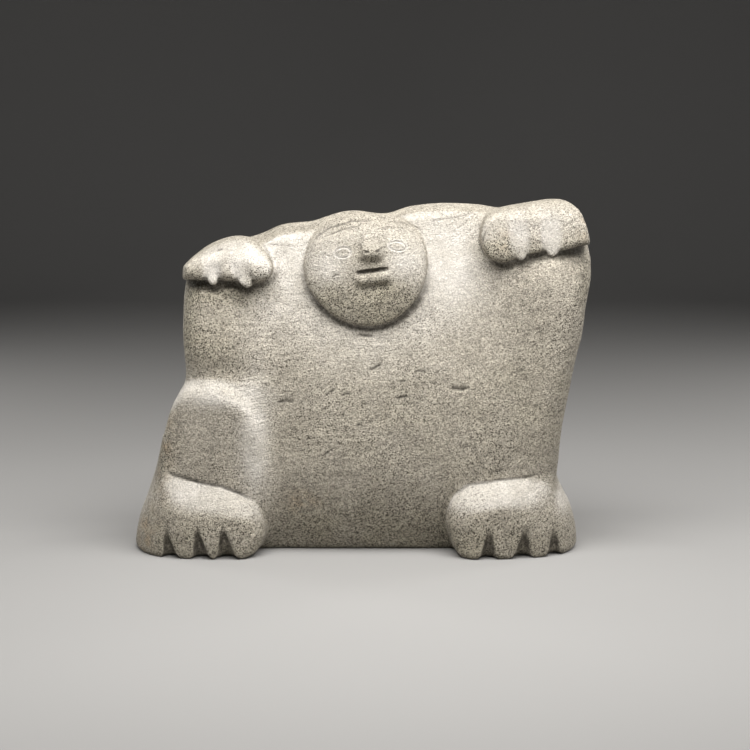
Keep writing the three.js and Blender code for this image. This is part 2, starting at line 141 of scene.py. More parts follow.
def along(stations: Sequence[Pair], samples: int = 12) -> Callable[[Array], Array]:
    """Smooth curve through stations.

    Args:
        stations: Place and value of each station, in order.
        samples: Points to each span.

    Returns:
        The value at any place.
    """
    points = np.array([stations[0], *stations, stations[-1]], float)
    t = np.linspace(0, 1, samples, endpoint=False)[:, None]
    spans = [catmull_rom(points[i : i + 4], t) for i in range(len(stations) - 1)]
    curve = np.vstack([*spans, points[-1:]])
    return lambda place: np.interp(place, curve[:, 0], curve[:, 1])


def outline_distance(points: Sequence[Pair], samples: int = 6) -> Flat:
    """Distance to a closed smooth outline in its own plane, negative inside.

    Args:
        points: The outline's points, in order.
        samples: Points to each span.

    Returns:
        The distance at any point of the plane.
    """
    corners = np.array(points, float)
    t = np.linspace(0, 1, samples, endpoint=False)[:, None]
    turned = [np.roll(corners, shift, axis=0) for shift in (1, 0, -1, -2)]
    ring = np.vstack([catmull_rom([r[i] for r in turned], t) for i in range(len(corners))])

    def distance(u: Array, v: Array) -> Array:
        """Distances of points, negative inside.

        Args:
            u: The points' first coordinates.
            v: Their second ones.

        Returns:
            Distances to the outline.
        """
        best = np.full(u.shape, np.inf)
        inside = np.zeros(u.shape, bool)
        for (au, av), (bu, bv) in zip(ring, np.roll(ring, -1, axis=0)):
            eu, ev = bu - au, bv - av
            t = np.clip(((u - au) * eu + (v - av) * ev) / (eu * eu + ev * ev), 0, 1)
            best = np.minimum(best, np.hypot(u - au - t * eu, v - av - t * ev))
            if ev:
                crossed = ((av > v) != (bv > v)) & (u < au + (v - av) / ev * eu)
                inside ^= crossed
        return np.where(inside, -best, best)

    return distance


@dataclass(frozen=True)
class Chart:
    """A function of two coordinates, sampled on a grid and read back between the samples."""

    first: Pair
    step: float
    held: Array

    @classmethod
    def of(cls, flat: Flat, low: float = -16.0, step: float = 1.0) -> "Chart":
        """Samples a function.

        Args:
            flat: The function.
            low: Where the second coordinate starts.
            step: Distance between samples.

        Returns:
            The sampled function.
        """
        u = np.arange(*CHARTED_ACROSS, step)
        v = np.arange(low, low + CHARTED_UP, step)
        return cls((u[0], low), step, flat(*np.meshgrid(u, v, indexing="ij")))

    def __call__(self, u: Array, v: Array) -> Array:
        """Reads the chart.

        Args:
            u: The points' first coordinates.
            v: Their second ones.

        Returns:
            The function's values there.
        """
        rows, columns = self.held.shape
        s = np.clip((u - self.first[0]) / self.step, 0, rows - 1.001)
        t = np.clip((v - self.first[1]) / self.step, 0, columns - 1.001)
        i, j = s.astype(int), t.astype(int)
        near = lerp(self.held[i, j], self.held[i + 1, j], s - i)
        far = lerp(self.held[i, j + 1], self.held[i + 1, j + 1], s - i)
        return lerp(near, far, t - j)


# Forms of the figure, each with distances that are negative inside the stone


@dataclass(frozen=True)
class Ellipsoid:
    """An egg of stone, with its centre and half sizes."""

    at: Triple
    half: Triple

    def distance(self, x: Array, y: Array, z: Array) -> Array:
        """Distances of points, negative inside.

        Args:
            x: The points' places across.
            y: Their depths.
            z: Their heights.

        Returns:
            Distances to the egg.
        """
        a, b, c = ((p - m) / h for p, m, h in zip((x, y, z), self.at, self.half))
        near = np.sqrt(a * a + b * b + c * c)
        steep = np.sqrt(sum((n / h) ** 2 for n, h in zip((a, b, c), self.half)))
        return near * (near - 1) / np.maximum(steep, 1e-9)


@dataclass(frozen=True)
class Bar:
    """A straight round bar whose radius changes along it; a squeeze under 1 makes it deeper."""

    start: Triple
    end: Triple
    radii: Pair
    squeeze: float = 1.0

    def distance(self, x: Array, y: Array, z: Array) -> Array:
        """Distances of points, negative inside.

        Args:
            x: The points' places across.
            y: Their depths.
            z: Their heights.

        Returns:
            Distances to the bar.
        """
        ax, ay, az = self.start
        dx, dy, dz = (e - s for e, s in zip(self.end, self.start))
        dy *= self.squeeze
        v = (y - ay) * self.squeeze
        span = dx * dx + dy * dy + dz * dz
        t = np.clip(((x - ax) * dx + v * dy + (z - az) * dz) / span, 0, 1)
        gap = np.sqrt((x - ax - t * dx) ** 2 + (v - t * dy) ** 2 + (z - az - t * dz) ** 2)
        return gap - lerp(*self.radii, t)


@dataclass(frozen=True)
class Swell:
    """A broad soft swelling, or a hollow where it sinks in: centre, reach and rise."""

    at: Pair
    reach: Pair
    rise: float

    def height(self, x: Array, z: Array) -> Array:
        """Rise at points x, z."""
        u, v = (x - self.at[0]) / self.reach[0], (z - self.at[1]) / self.reach[1]
        return self.rise * np.exp(-u * u - v * v)


@dataclass(frozen=True)
class Slab:
    """The body: an upright slab with a side profile, an outline and broad swells."""

    side_rounding: float = 17.0
    back_rounding: float = 22.0
    crest_rounding: float = 5.0
    crest_heights: Pair = (150, 172)
    crest_middle: float = 5.0
    crest_reach: Pair = (60, 85)
    top_slope: float = 0.28
    top_heights: Pair = (120, 160)
    top_back: float = 18.0
    foot_rounding: float = 4.0
    underside: float = -0.6
    front: Sequence[Pair] = (
        (-12, -18), (0, -24), (12, -30), (24, -34.4), (40, -37.4), (65, -37.5), (95, -34.5),
        (125, -27.5), (150, -20), (170, -13), (195, -6),
    )
    back: Sequence[Pair] = (
        (-12, 39), (0, 44), (12, 48), (24, 49.4), (40, 50), (65, 50), (95, 47), (125, 41),
        (150, 34), (170, 28), (195, 21),
    )
    outline: Sequence[Pair] = (
        (-99, -14), (-103, 25), (-102, 65), (-99, 95), (-100.4, 122), (-99.8, 146), (-97.2, 156.4),
        (-86, 164), (-72, 169.5), (-58, 174), (-47, 179.3), (-30, 181.5), (-8, 183), (12, 187.2),
        (25, 191), (44, 192.6), (62, 191.5), (76, 189), (98, 187.5), (112, 183.5), (122.4, 171.6),
        (124, 161), (120.6, 137), (118.6, 120), (113.2, 98), (108.6, 72), (105.9, 50), (104, 30),
        (101, 8), (98, -14),
    )
    front_swells: Sequence[Swell] = (
        Swell((-86, 122), (20, 44), 6),
        Swell((106, 128), (24, 50), 8),
        Swell((96, 162), (30, 16), 4.2),
        Swell((96, 146), (30, 24), 6),
        Swell((-78, 142), (26, 18), 1.5),
        Swell((10, 58), (62, 42), 2.5),
        Swell((2, 134), (44, 24), -1.5),
        Swell((-52, 142), (12, 36), -2),
        Swell((56, 148), (14, 36), -2),
        Swell((-84, 99), (26, 9), -3),
        Swell((-48, 56), (12, 40), -2),
    )
    back_swells: Sequence[Swell] = (
        Swell((-66, 136), (34, 40), 4),
        Swell((78, 146), (34, 44), 5),
        Swell((4, 118), (22, 62), -4),
        Swell((-64, 34), (40, 34), 3),
        Swell((66, 34), (40, 34), 3),
    )

    def __post_init__(self) -> None:
        """Charts the outline, the two faces and the rounding of the front edge."""
        front, back = along(self.front), along(self.back)
        charts = {
            "_rim": outline_distance(self.outline),
            "_face": lambda x, z: front(z) - sum(s.height(x, z) for s in self.front_swells),
            "_rear": lambda x, z: back(z) + sum(s.height(x, z) for s in self.back_swells),
            "_rounding": self._edge_rounding,
        }
        for name, flat in charts.items():
            object.__setattr__(self, name, Chart.of(flat))

    def _edge_rounding(self, x: Array, z: Array) -> Array:
        """Rounding of the front edge: soft at the flanks, sharper at the crest.

        Args:
            x: The points' places across.
            z: Their heights.

        Returns:
            Reaches of the rounding.
        """
        aside = smoothstep(np.abs(x - self.crest_middle), *self.crest_reach)
        crest = smoothstep(z, *self.crest_heights) * (1 - aside)
        return lerp(self.side_rounding, self.crest_rounding, crest)

    def distance(self, x: Array, y: Array, z: Array) -> Array:
        """Distances of points, negative inside.

        Args:
            x: The points' places across.
            y: Their depths.
            z: Their heights.

        Returns:
            Distances to the slab.
        """
        high = smoothstep(z, *self.top_heights)
        fall = high * self.top_slope * np.maximum(self.top_back - y, 0)
        edge = self._rim(x, z + fall)
        fore = smooth_max(edge, self._face(x, z) - y, self._rounding(x, z))
        whole = smooth_max(fore, y - self._rear(x, z), self.back_rounding)
        return smooth_max(whole, self.underside - z, self.foot_rounding)


@dataclass(frozen=True)
class Stroke:
    """A straight flat-topped ridge, or a groove where it sinks in.

    top and foot are its ends, half the half widths of the flat and of the whole, rise the height at
    either end, and fade how far it dies out there as a share of its length.
    """

    top: Pair
    foot: Pair
    half: Pair
    rise: Pair
    fade: Pair

    def height(self, x: Array, z: Array) -> Array:
        """Rise of the ridge at points.

        Args:
            x: The points' places across.
            z: Their heights.

        Returns:
            Heights over the face.
        """
        down = (z - self.top[1]) / (self.foot[1] - self.top[1])
        held = np.clip(down, 0, 1)
        aside = np.abs(x - lerp(self.top[0], self.foot[0], held))
        ends = smoothstep(down, 0, self.fade[0]) * (1 - smoothstep(down, 1, 1 + self.fade[1]))
        return lerp(*self.rise, held) * (1 - smoothstep(aside, *self.half)) * ends


@dataclass(frozen=True)
class Dish:
    """The face of a mass: depth at a point, slope across and up, and its fall towards the rim."""

    at: Pair
    depth: float
    across: float
    up: float
    fall: float
    reach: Pair

    def surface(self, x: Array, z: Array) -> Array:
        """Depth of the face at points.

        Args:
            x: The points' places across.
            z: Their heights.

        Returns:
            Depths, where smaller is further out.
        """
        u, v = x - self.at[0], z - self.at[1]
        rim = (u / self.reach[0]) ** 2 + (v / self.reach[1]) ** 2
        return self.depth + self.across * u + self.up * v + self.fall * np.minimum(rim, 1.6)


@dataclass(frozen=True)
class Rounding:
    """Edge rounding of a mass: at its foot, at its top from one height to another, and aside."""

    foot: float
    top: float
    start: float
    end: float
    sides: Pair | None = None

    def reach(self, x: Array, z: Array, dish: Dish) -> Array:
        """Rounding at points of a mass.

        Args:
            x: The points' places across.
            z: Their heights.
            dish: The mass's face.

        Returns:
            Reaches of the edge's rounding.
        """
        high = smoothstep(z, self.start, self.end)
        if self.sides:
            aside = smoothstep(np.abs(x - dish.at[0]) / dish.reach[0], *self.sides)
            high = np.maximum(high, aside)
        return lerp(self.foot, self.top, high)


@dataclass(frozen=True)
class Boss:
    """A mass raised from the slab, with an outline seen from the front."""

    outline: Sequence[Pair]
    dish: Dish
    rounding: Rounding
    back: float
    strokes: Sequence[Stroke] = ()
    back_rounding: float = 14.0

    def __post_init__(self) -> None:
        """Charts the outline and the face."""
        object.__setattr__(self, "_rim", Chart.of(outline_distance(self.outline)))
        object.__setattr__(self, "_face", Chart.of(self._ridged))

    def _ridged(self, x: Array, z: Array) -> Array:
        """Depth of the face with its ridges and grooves at points x, z."""
        return self.dish.surface(x, z) - sum((s.height(x, z) for s in self.strokes), 0 * x)

    def rim(self, x: Array, z: Array) -> Array:
        """Distance of points x, z to the outline, negative inside."""
        return self._rim(x, z)

    def distance(self, x: Array, y: Array, z: Array) -> Array:
        """Distances of points, negative inside.

        Args:
            x: The points' places across.
            y: Their depths.
            z: Their heights.

        Returns:
            Distances to the mass.
        """
        k = self.rounding.reach(x, z, self.dish)
        fore = smooth_max(self._rim(x, z), self._face(x, z) - y, k)
        return smooth_max(fore, y - self.back, self.back_rounding)


@dataclass(frozen=True)
class Cleft:
    """A groove between two toes: its top and foot as x and height, and its width at the foot."""

    top: Pair
    foot: Pair
    wide: float


@dataclass(frozen=True)
class Foot:
    """A foot: its outline from above, and along x its knuckles' height and the instep's climb."""

    plan: Sequence[Pair]
    instep: Sequence[Triple]
    flare_at: Triple
    flare_facing: Triple
    clefts: Sequence[Cleft]
    instep_rounding: float = 6.5
    instep_top: float = 62.0
    flare_rounding: float = 6.0
    cleft_tip: float = 0.3
    cleft_squeeze: float = 0.55
    cleft_rounding: float = 1.6
    sole: float = -0.3
    sole_rounding: float = 4.0

    def __post_init__(self) -> None:
        """Charts the outline and readies the instep's curves and the clefts."""
        object.__setattr__(self, "_wall", Chart.of(outline_distance(self.plan), -60))
        object.__setattr__(self, "_knuckle", along([(x, z) for x, z, _ in self.instep]))
        object.__setattr__(self, "_climb", along([(x, m) for x, _, m in self.instep]))
        object.__setattr__(self, "_grooves", [self._groove(c) for c in self.clefts])

    def _front_at(self, x: float) -> float:
        """Depth of the outline's front at x."""
        y = np.arange(-60, 20, 0.25)
        return float(y[np.argmax(self._wall(np.full(y.shape, x), y) <= 0)])

    def _groove(self, cleft: Cleft) -> Bar:
        """The bar that one cleft is cut with."""
        ends = [(x, self._front_at(x) - 0.5, z) for x, z in (cleft.top, cleft.foot)]
        return Bar(*ends, (self.cleft_tip, cleft.wide), self.cleft_squeeze)

    def distance(self, x: Array, y: Array, z: Array) -> Array:
        """Distances of points, negative inside.

        Args:
            x: The points' places across.
            y: Their depths.
            z: Their heights.

        Returns:
            Distances to the foot.
        """
        side, climb = self._wall(x, y), self._climb(x)
        top = np.minimum(self._knuckle(x) - climb * side, self.instep_top)
        d = smooth_max(side, (z - top) / np.hypot(1, climb), self.instep_rounding)
        facing = np.array(self.flare_facing) / np.linalg.norm(self.flare_facing)
        away = sum((p - a) * n for p, a, n in zip((x, y, z), self.flare_at, facing))
        d = smooth_max(d, away, self.flare_rounding)
        for groove in self._grooves:
            d = smooth_max(d, -groove.distance(x, y, z), self.cleft_rounding)
        return smooth_max(d, self.sole - z, self.sole_rounding)


HEAD = Boss(
    outline=(
        (0.4, 124.6), (-10, 126.6), (-21.2, 133.2), (-30.2, 144), (-34, 157), (-31.2, 170.5),
        (-22, 179.8), (-8.6, 184), (5.6, 185.2), (17.2, 183.6), (26.8, 178.4), (32.4, 170),
        (33.8, 160.5), (32.2, 149.4), (26.8, 138.2), (18, 129.8), (9.4, 125.6),
    ),
    dish=Dish((2, 150), -33, 0, 0.1, 7, (34, 31)),
    rounding=Rounding(2.6, 16, 144, 178),
    back=0,
    strokes=(
        Stroke((2.4, 182), (3.2, 166), (2.8, 6.6), (1.0, 2.4), (0.35, 0.3)),
        Stroke((3, 172), (3.2, 163), (3.6, 8), (1.2, 2.8), (0.5, 0.4)),
        Stroke((4, 149.2), (3.4, 142), (7, 12), (-1.6, -0.6), (0.3, 0.6)),
    ),
)


@dataclass(frozen=True)
class Face:
    """The round head with its nose, its lower lip and the slit of its mouth."""

    disc: Boss = HEAD
    lip: Bar = Bar((-1.8, -32.2, 149.6), (10.2, -32, 151.6), (2.7, 2.7))
    slit: Bar = Bar((-3.6, -34.8, 153.9), (11.4, -34.6, 156), (1.2, 1.2), 0.3)
    lip_fillet: float = 2.0
    slit_rounding: float = 0.8

    def distance(self, x: Array, y: Array, z: Array) -> Array:
        """Distances of points, negative inside.

        Args:
            x: The points' places across.
            y: Their depths.
            z: Their heights.

        Returns:
            Distances to the face.
        """
        disc, lip = self.disc.distance(x, y, z), self.lip.distance(x, y, z)
        full = smooth_min(disc, lip, self.lip_fillet)
        return smooth_max(full, -self.slit.distance(x, y, z), self.slit_rounding)


def nail_strip(outline: Sequence[Pair], at: Pair, depth: float, up: float, edge: Rounding) -> Boss:
    """A narrow strip of a nail that hangs from a paw.

    Args:
        outline: Its outline from the front.
        at: The point where its depth is given.
        depth: Its depth there.
        up: Slope of its face, going up.
        edge: Its edge rounding.

    Returns:
        The strip.
    """
    return Boss(outline, Dish(at, depth, 0, up, 0, (10, 10)), edge, back=0)


# The masses of the body: outlines as x and height, a foot's plan as x and depth
KNEE = Boss(
    outline=(
        (-110, 4), (-115, 30), (-114.6, 43), (-112.6, 57), (-109, 70), (-105, 82), (-98.4, 90),
        (-86, 92), (-73, 89), (-64, 81.6), (-59, 70), (-56.4, 56), (-55.4, 40), (-56, 20), (-61, 4),
    ),
    dish=Dish((-80, 50), -41, -0.1, -0.05, 0, (30, 40)),
    rounding=Rounding(9, 8, 30, 70),
    back=24,
)
LOW_HAND = Boss(
    outline=(
        (-99.6, 149.4), (-100.2, 153.4), (-98.8, 157.4), (-92.6, 163), (-84.8, 167.8), (-74, 171.2),
        (-65, 171), (-57.5, 167.4), (-52.4, 161.5), (-50.6, 155.5), (-52.6, 150.8), (-57, 149),
        (-62, 148.4), (-67, 149), (-75, 149.6), (-82, 149.4), (-88.6, 149.4), (-94.6, 149.8),
    ),
    dish=Dish((-74, 154), -33.5, -0.04, 0.26, 3, (24, 16)),
    rounding=Rounding(6.5, 20, 153, 168, (0.85, 1.4)),
    back=14,
    strokes=(
        Stroke((-84, 166), (-82.8, 149), (3, 6.6), (-0.8, -2.6), (0.8, 9)),
        Stroke((-71.6, 166), (-65, 149), (3.2, 6.8), (-0.8, -2.6), (0.8, 9)),
    ),
)
LOW_NAILS = (
    nail_strip(
        (
            (-86, 157), (-86.2, 152), (-84.9, 148.6), (-83.1, 147.3), (-81.2, 147.6),
            (-80.1, 149.4), (-80.4, 153), (-81.4, 157),
        ),
        (-83, 150),
        -31.9,
        0.25,
        Rounding(1.6, 5, 150, 156),
    ),
    nail_strip(
        (
            (-71.4, 157), (-69.8, 151.3), (-68, 148.2), (-65.8, 146.6), (-63.4, 145.8),
            (-61.8, 147.2), (-61.8, 149.5), (-63.2, 153), (-65, 157),
        ),
        (-66, 150),
        -32.1,
        0.25,
        Rounding(1.6, 5, 150, 156),
    ),
)
HIGH_HAND = Boss(
    outline=(
        (121.4, 168.6), (121.6, 173), (119.4, 180.4), (116.6, 186.8), (110.6, 191), (103, 192),
        (89.2, 190.4), (76, 188), (67, 184.4), (62.8, 177), (63, 168.4), (67.5, 161.6), (74, 159.6),
        (80, 160.4), (87, 163), (93, 164.6), (98, 165.4), (104, 165.2), (110, 166.6), (117, 168.4),
    ),
    dish=Dish((91, 173), -31, 0.0, 0.2, 2.5, (31, 18)),
    rounding=Rounding(3.4, 14, 176, 190, (0.8, 1.3)),
    back=14,
    strokes=(
        Stroke((81.4, 190), (83.6, 164), (3.2, 7.2), (-1.0, -2.6), (0.7, 9)),
        Stroke((99.4, 191), (100.8, 165), (3.2, 7.2), (-1.0, -2.6), (0.7, 9)),
    ),
)
HIGH_NAILS = (
    nail_strip(
        (
            (79.6, 174.5), (80.4, 167.9), (81.4, 163), (83.4, 160.6), (85.4, 160.6), (87.2, 163),
            (87.8, 167.2), (87.6, 174.5),
        ),
        (83.6, 165),
        -29.8,
        0.2,
        Rounding(1.6, 4, 164, 173),
    ),
    nail_strip(
        (
            (96.8, 174.5), (97.3, 167.9), (98.2, 164), (99.9, 162.4), (101.8, 162.4), (103.9, 164),
            (104.7, 167.2), (104.2, 174.5),
        ),
        (100.6, 165),
        -29.6,
        0.2,
        Rounding(1.6, 4, 164, 173),
    ),
)
LEFT_FOOT = Foot(
    plan=(
        (-54, -34), (-54.4, -42), (-59, -49), (-69, -53), (-83, -53), (-98.5, -51), (-112.5, -46),
        (-122.6, -35), (-128, -19), (-127.8, -5), (-122, 7), (-111, 14), (-96, 18), (-66, 16),
        (-50, 0), (-50, -20),
    ),
    instep=(
        (-140, 9, 1.5), (-128, 13.5, 1.6), (-122, 17, 1.7), (-115, 22, 2.1), (-110, 25, 2.5),
        (-105, 26, 1.85), (-98, 25.8, 1.4), (-91, 25.8, 1.25), (-79, 26, 1.02), (-69, 25.2, 0.88),
        (-62, 23.2, 1.1), (-54, 19, 1.4), (-40, 15, 1.4),
    ),
    flare_at=(-54.6, -44, 9),
    flare_facing=(0.78, -0.1, -0.62),
    clefts=(
        Cleft((-109, 17), (-106, -2), 4.8),
        Cleft((-91.5, 17.5), (-89, -2), 5.3),
        Cleft((-77.5, 18.5), (-75.2, -2), 6.2),
    ),
)
RIGHT_FOOT = Foot(
    plan=(
        (41.5, -32), (42, -41), (47, -48.5), (57, -53), (68, -53), (82, -51), (95.6, -47),
        (106.2, -41), (113.4, -30.5), (117.4, -16), (116.2, -3), (111, 7), (100, 14), (60, 18),
        (36, 0), (38, -20),
    ),
    instep=(
        (28, 15, 1.6), (42, 20, 1.8), (50, 24.5, 1.2), (57, 27.6, 0.84), (65, 30, 0.7),
        (74, 31, 0.74), (87, 28.4, 1.28), (95, 25.6, 1.95), (100, 23.6, 2.2), (103.5, 21.8, 1.75),
        (106, 20.6, 1.6), (110, 19, 1.6), (114, 17.4, 1.7), (118, 15.6, 1.7), (130, 10, 1.7),
    ),
    flare_at=(42, -44, 19),
    flare_facing=(-0.9, -0.1, -0.42),
    clefts=(
        Cleft((67, 17), (66, -2), 5.0),
        Cleft((86.6, 16.5), (85, -2), 5.7),
        Cleft((102.6, 16.5), (103.2, -2), 4.4),
    ),
)


@dataclass(frozen=True)
class Figure:
    """All forms of the stone, in the order in which they join, each with its fillet."""

    slab: Slab = Slab()
    forms: Sequence[tuple[Ellipsoid | Face | Boss | Foot, float]] = (
        (Ellipsoid((-7.4, 8, 162), (26.6, 24, 22.9)), 6),
        (Face(), 1.8),
        (KNEE, 6),
        (LOW_HAND, 3),
        (HIGH_HAND, 3),
        *((nail, 1.2) for nail in (*LOW_NAILS, *HIGH_NAILS)),
        (LEFT_FOOT, 2),
        (RIGHT_FOOT, 2.5),
    )

    def distance(self, points: Array) -> Array:
        """Distances of points, negative inside.

        Args:
            points: The points, as rows.

        Returns:
            Distances to the stone's surface.
        """
        x, y, z = points.T
        d = self.slab.distance(x, y, z)
        for form, fillet in self.forms:
            d = smooth_min(d, form.distance(x, y, z), fillet)
        return np.maximum(d, -z)

    def slope(self, points: Array, near: float = 0.05) -> tuple[Array, Array]:
        """Distances of points, and the field's gradient there.

        Args:
            points: The points, as rows.
            near: How far aside the field is read for the gradient.

        Returns:
            The distances, and the gradients as rows.
        """
        d = self.distance(points)
        steps = [(self.distance(points + e) - d) / near for e in np.eye(3) * near]
        return d, np.stack(steps, axis=1)

    def settle(self, points: Array, reach: float, turns: int = 3) -> Array:
        """Moves points onto the surface.

        Args:
            points: The points, as rows.
            reach: The furthest that a point goes in one turn.
            turns: How often the move is made.

        Returns:
            The moved points.
        """
        moved = points.copy()
        for _ in range(turns):
            d, slope = self.slope(moved)
            steep = np.maximum(np.linalg.norm(slope, axis=1), 0.05)
            move = np.clip(d / steep, -reach, reach) / steep
            moved -= slope * move[:, None]
        return moved


# Lines cut into the front of the stone


@dataclass(frozen=True)
class Cut:
    """A line cut into the front: its path as x and height, its half width and its depth.

    A lip is the height of the burr that the tool leaves along the lower side. A pale cut shows
    freshly cut stone along its edges and only a faint painted shadow in its line.
    """

    path: Sequence[Pair]
    half: float = 0.55
    depth: float = 0.8
    lip: float = 0.15
    closed: bool = False
    pale: bool = False

    def nearest(self, x: Array, z: Array) -> tuple[Array, Array, Array]:
        """Distance to the path, side of it and place along it.

        Args:
            x: The points' places across.
            z: The points' heights.

        Returns:
            Distances, heights over the path, and shares of its length from 0 to 1.
        """
        ring = [*self.path, self.path[0]] if self.closed else list(self.path)
        best, over, share = (np.full(x.shape, v) for v in (np.inf, 0.0, 0.0))
        spans = len(ring) - 1
        for i, ((ax, az), (bx, bz)) in enumerate(zip(ring, ring[1:])):
            ex, ez = bx - ax, bz - az
            t = np.clip(((x - ax) * ex + (z - az) * ez) / (ex * ex + ez * ez), 0, 1)
            gap = np.hypot(x - ax - t * ex, z - az - t * ez)
            closer = gap < best
            best = np.where(closer, gap, best)
            over = np.where(closer, z - az - t * ez, over)
            share = np.where(closer, (i + t) / spans, share)
        return best, over, share

    def reach(self) -> float:
        """How far from the path the surface moves."""
        return self.half * 3.2

    def chalk(self, x: Array, z: Array) -> Array:
        """How much freshly cut stone shows at points x, z."""
        gap, _, _ = self.nearest(x, z)
        return (1 - smoothstep(gap, self.half, self.half * 2.6)) * self.pale

    def sink(self, x: Array, z: Array) -> tuple[Array, Array]:
        """Depth of the cut and strength of its shadow at points x, z.

        Args:
            x: The points' places across.
            z: The points' heights.

        Returns:
            Depths, with the burr as negative depth, and strengths from 0 to 1.
        """
        gap, over, share = self.nearest(x, z)
        ends = 1.0
        if not self.closed:
            ends = smoothstep(share, 0, 0.22) * (1 - smoothstep(share, 0.78, 1))
        core = (1 - smoothstep(gap, self.half * 0.25, self.half * 1.6)) * ends
        beyond = (gap - self.half * 1.8) / (self.half * 0.8)
        burr = np.exp(-(beyond**2)) * (over < 0) * ends
        return self.depth * core - self.lip * burr, core


def oval(at: Pair, half: Pair, tilt: float = 0.0, count: int = 20) -> tuple[Pair, ...]:
    """Points of a tilted oval.

    Args:
        at: Its centre.
        half: Its half sizes.
        tilt: Its turn in degrees.
        count: How many points.

    Returns:
        The points, in order.
    """
    c, s = math.cos(math.radians(tilt)), math.sin(math.radians(tilt))
    turns = [2 * math.pi * i / count for i in range(count)]
    flat = [(half[0] * math.cos(a), half[1] * math.sin(a)) for a in turns]
    return tuple((at[0] + u * c - v * s, at[1] + u * s + v * c) for u, v in flat)


@dataclass(frozen=True)
class CutLines:
    """Every line cut into the front.

    The face has the eye ovals, the mouth, a cheek line and the nostrils, and the body the tool's
    stray cuts. Creases run where two masses meet, and bedding is the stone's own fine cracks.
    """

    face: Sequence[Cut] = (
        Cut(oval((-12.4, 164.6), (4.3, 2.7), 6), 0.45, 0.6, 0.3, closed=True, pale=True),
        Cut(oval((17.2, 168.1), (4.7, 2.5), -8), 0.45, 0.6, 0.3, closed=True, pale=True),
        Cut(((-6, 153.5), (-2, 154.3), (4, 155.1), (9, 155.8), (13.6, 156.2)), 0.9, 0.9, 0.0),
        Cut(((-18.4, 151), (-16.3, 152.6), (-14.2, 152.8)), 0.4, 0.6),
        Cut(((-1.2, 165.1), (2.2, 165.5)), 0.8, 1.0, 0.3),
        Cut(((4.9, 165.5), (8.0, 166)), 0.8, 1.0, 0.3),
    )
    body: Sequence[Cut] = (
        Cut(((-4.8, 120.2), (0, 119.5), (4.8, 119.2))),
        Cut(((1.2, 101.3), (4.9, 102.4), (9, 104.9))),
        Cut(((26.2, 100.2), (29.8, 101), (33.2, 99.8))),
        Cut(((18, 95.4), (22.2, 95.3)), 0.5, 0.6),
        Cut(((35, 94), (38.8, 94.4)), 0.4, 0.4),
        Cut(((46.2, 92.8), (48.6, 91.3), (52.6, 91), (57.2, 92)), 0.7, 1.1),
        Cut(((16.2, 86.2), (23.2, 87.6)), 0.55, 0.7),
        Cut(((-22.8, 86.6), (-19.5, 89.4), (-16, 91.8))),
        Cut(((-14, 87.2), (-10.9, 88.4), (-7.4, 89.4))),
        Cut(((-5.4, 71.6), (-2, 72.8)), 0.5, 0.7),
        Cut(((-49.2, 83.3), (-43.6, 84.7), (-38.4, 84)), 0.6, 0.8),
        Cut(((-24.2, 54.2), (-20, 57.6), (-16, 59.7)), 0.5, 0.6),
        Cut(((50, 59.2), (55.5, 60), (61.2, 59.2)), 0.5, 0.6),
        Cut(((54.2, 68.6), (58.4, 68.8)), 0.45, 0.5),
        Cut(((12, 67.1), (15.1, 67.9)), 0.5, 0.6),
        Cut(((25, 122.1), (29.4, 122)), 0.4, 0.4),
        Cut(((77.5, 98.5), (86.8, 102.8)), 0.5, 0.5),
        Cut(((69.6, 45.4), (75, 47.2)), 0.7, 0.5),
        Cut(((-81.3, 165), (-77.6, 166.3)), 0.45, 0.6),
    )
    creases: Sequence[Cut] = (
        Cut(((-110, 48), (-105, 44.4), (-91, 40.6), (-79, 38.6), (-69, 35), (-56, 28.4)), 0.8, 0.9),
        Cut(((44, 30), (56, 39), (73, 41.4), (87.5, 43), (100.5, 46)), 0.7, 0.5),
        Cut(((-61.5, 172.6), (-57.7, 169.3), (-53.9, 164.4), (-49.6, 157.3)), 0.6, 0.35),
        Cut(((67, 180), (64, 174), (62.6, 167.7), (64.6, 161.8)), 0.5, 0.4),
    )
    bedding: Sequence[Cut] = (
        Cut(((-30.5, 168), (-26.2, 173), (-19.6, 177.4), (-7.6, 181), (10.3, 181.7)), 0.45, 0.5),
        Cut(((10.3, 180.6), (17.4, 180.4), (24, 179.5), (29.4, 176.3), (33.8, 170.8)), 0.4, 0.4),
        Cut(((-24, 171.6), (-14.1, 176), (-7.6, 177.8), (-0.5, 178.9)), 0.4, 0.38),
        Cut(((2, 176.4), (12, 178.2), (22, 177), (28, 173)), 0.35, 0.28),
        Cut(((-57, 167.1), (-52, 167.9), (-47.1, 167.2), (-41, 167), (-36.2, 166)), 0.45, 0.35),
        Cut(((34, 180), (40.6, 181.3), (48.9, 182.5), (62.6, 185.4)), 0.4, 0.38),
        Cut(((-86, 166.4), (-78.5, 169.6), (-71.4, 170.4), (-64.3, 169)), 0.35, 0.28),
    )

    def __iter__(self) -> Iterator[Cut]:
        """Goes through all cuts."""
        return iter((*self.face, *self.body, *self.creases, *self.bedding))


# Finishes


class Coating(Enum):
    """Masks that the stone's mesh carries for its finish, by the names of its attributes."""

    # The hollow and line masks paint shade into recesses and cuts; the weathering mask is mostly
    # painted shade with some real weathering of the stone; the lighter mask is partly freshly cut
    # stone and partly painted highlight.
    HOLLOW = "hollow"
    FRESH = "fresh"
    WEATHERED = "weathered"
    OCHRE = "ochre"
    LINE = "line"


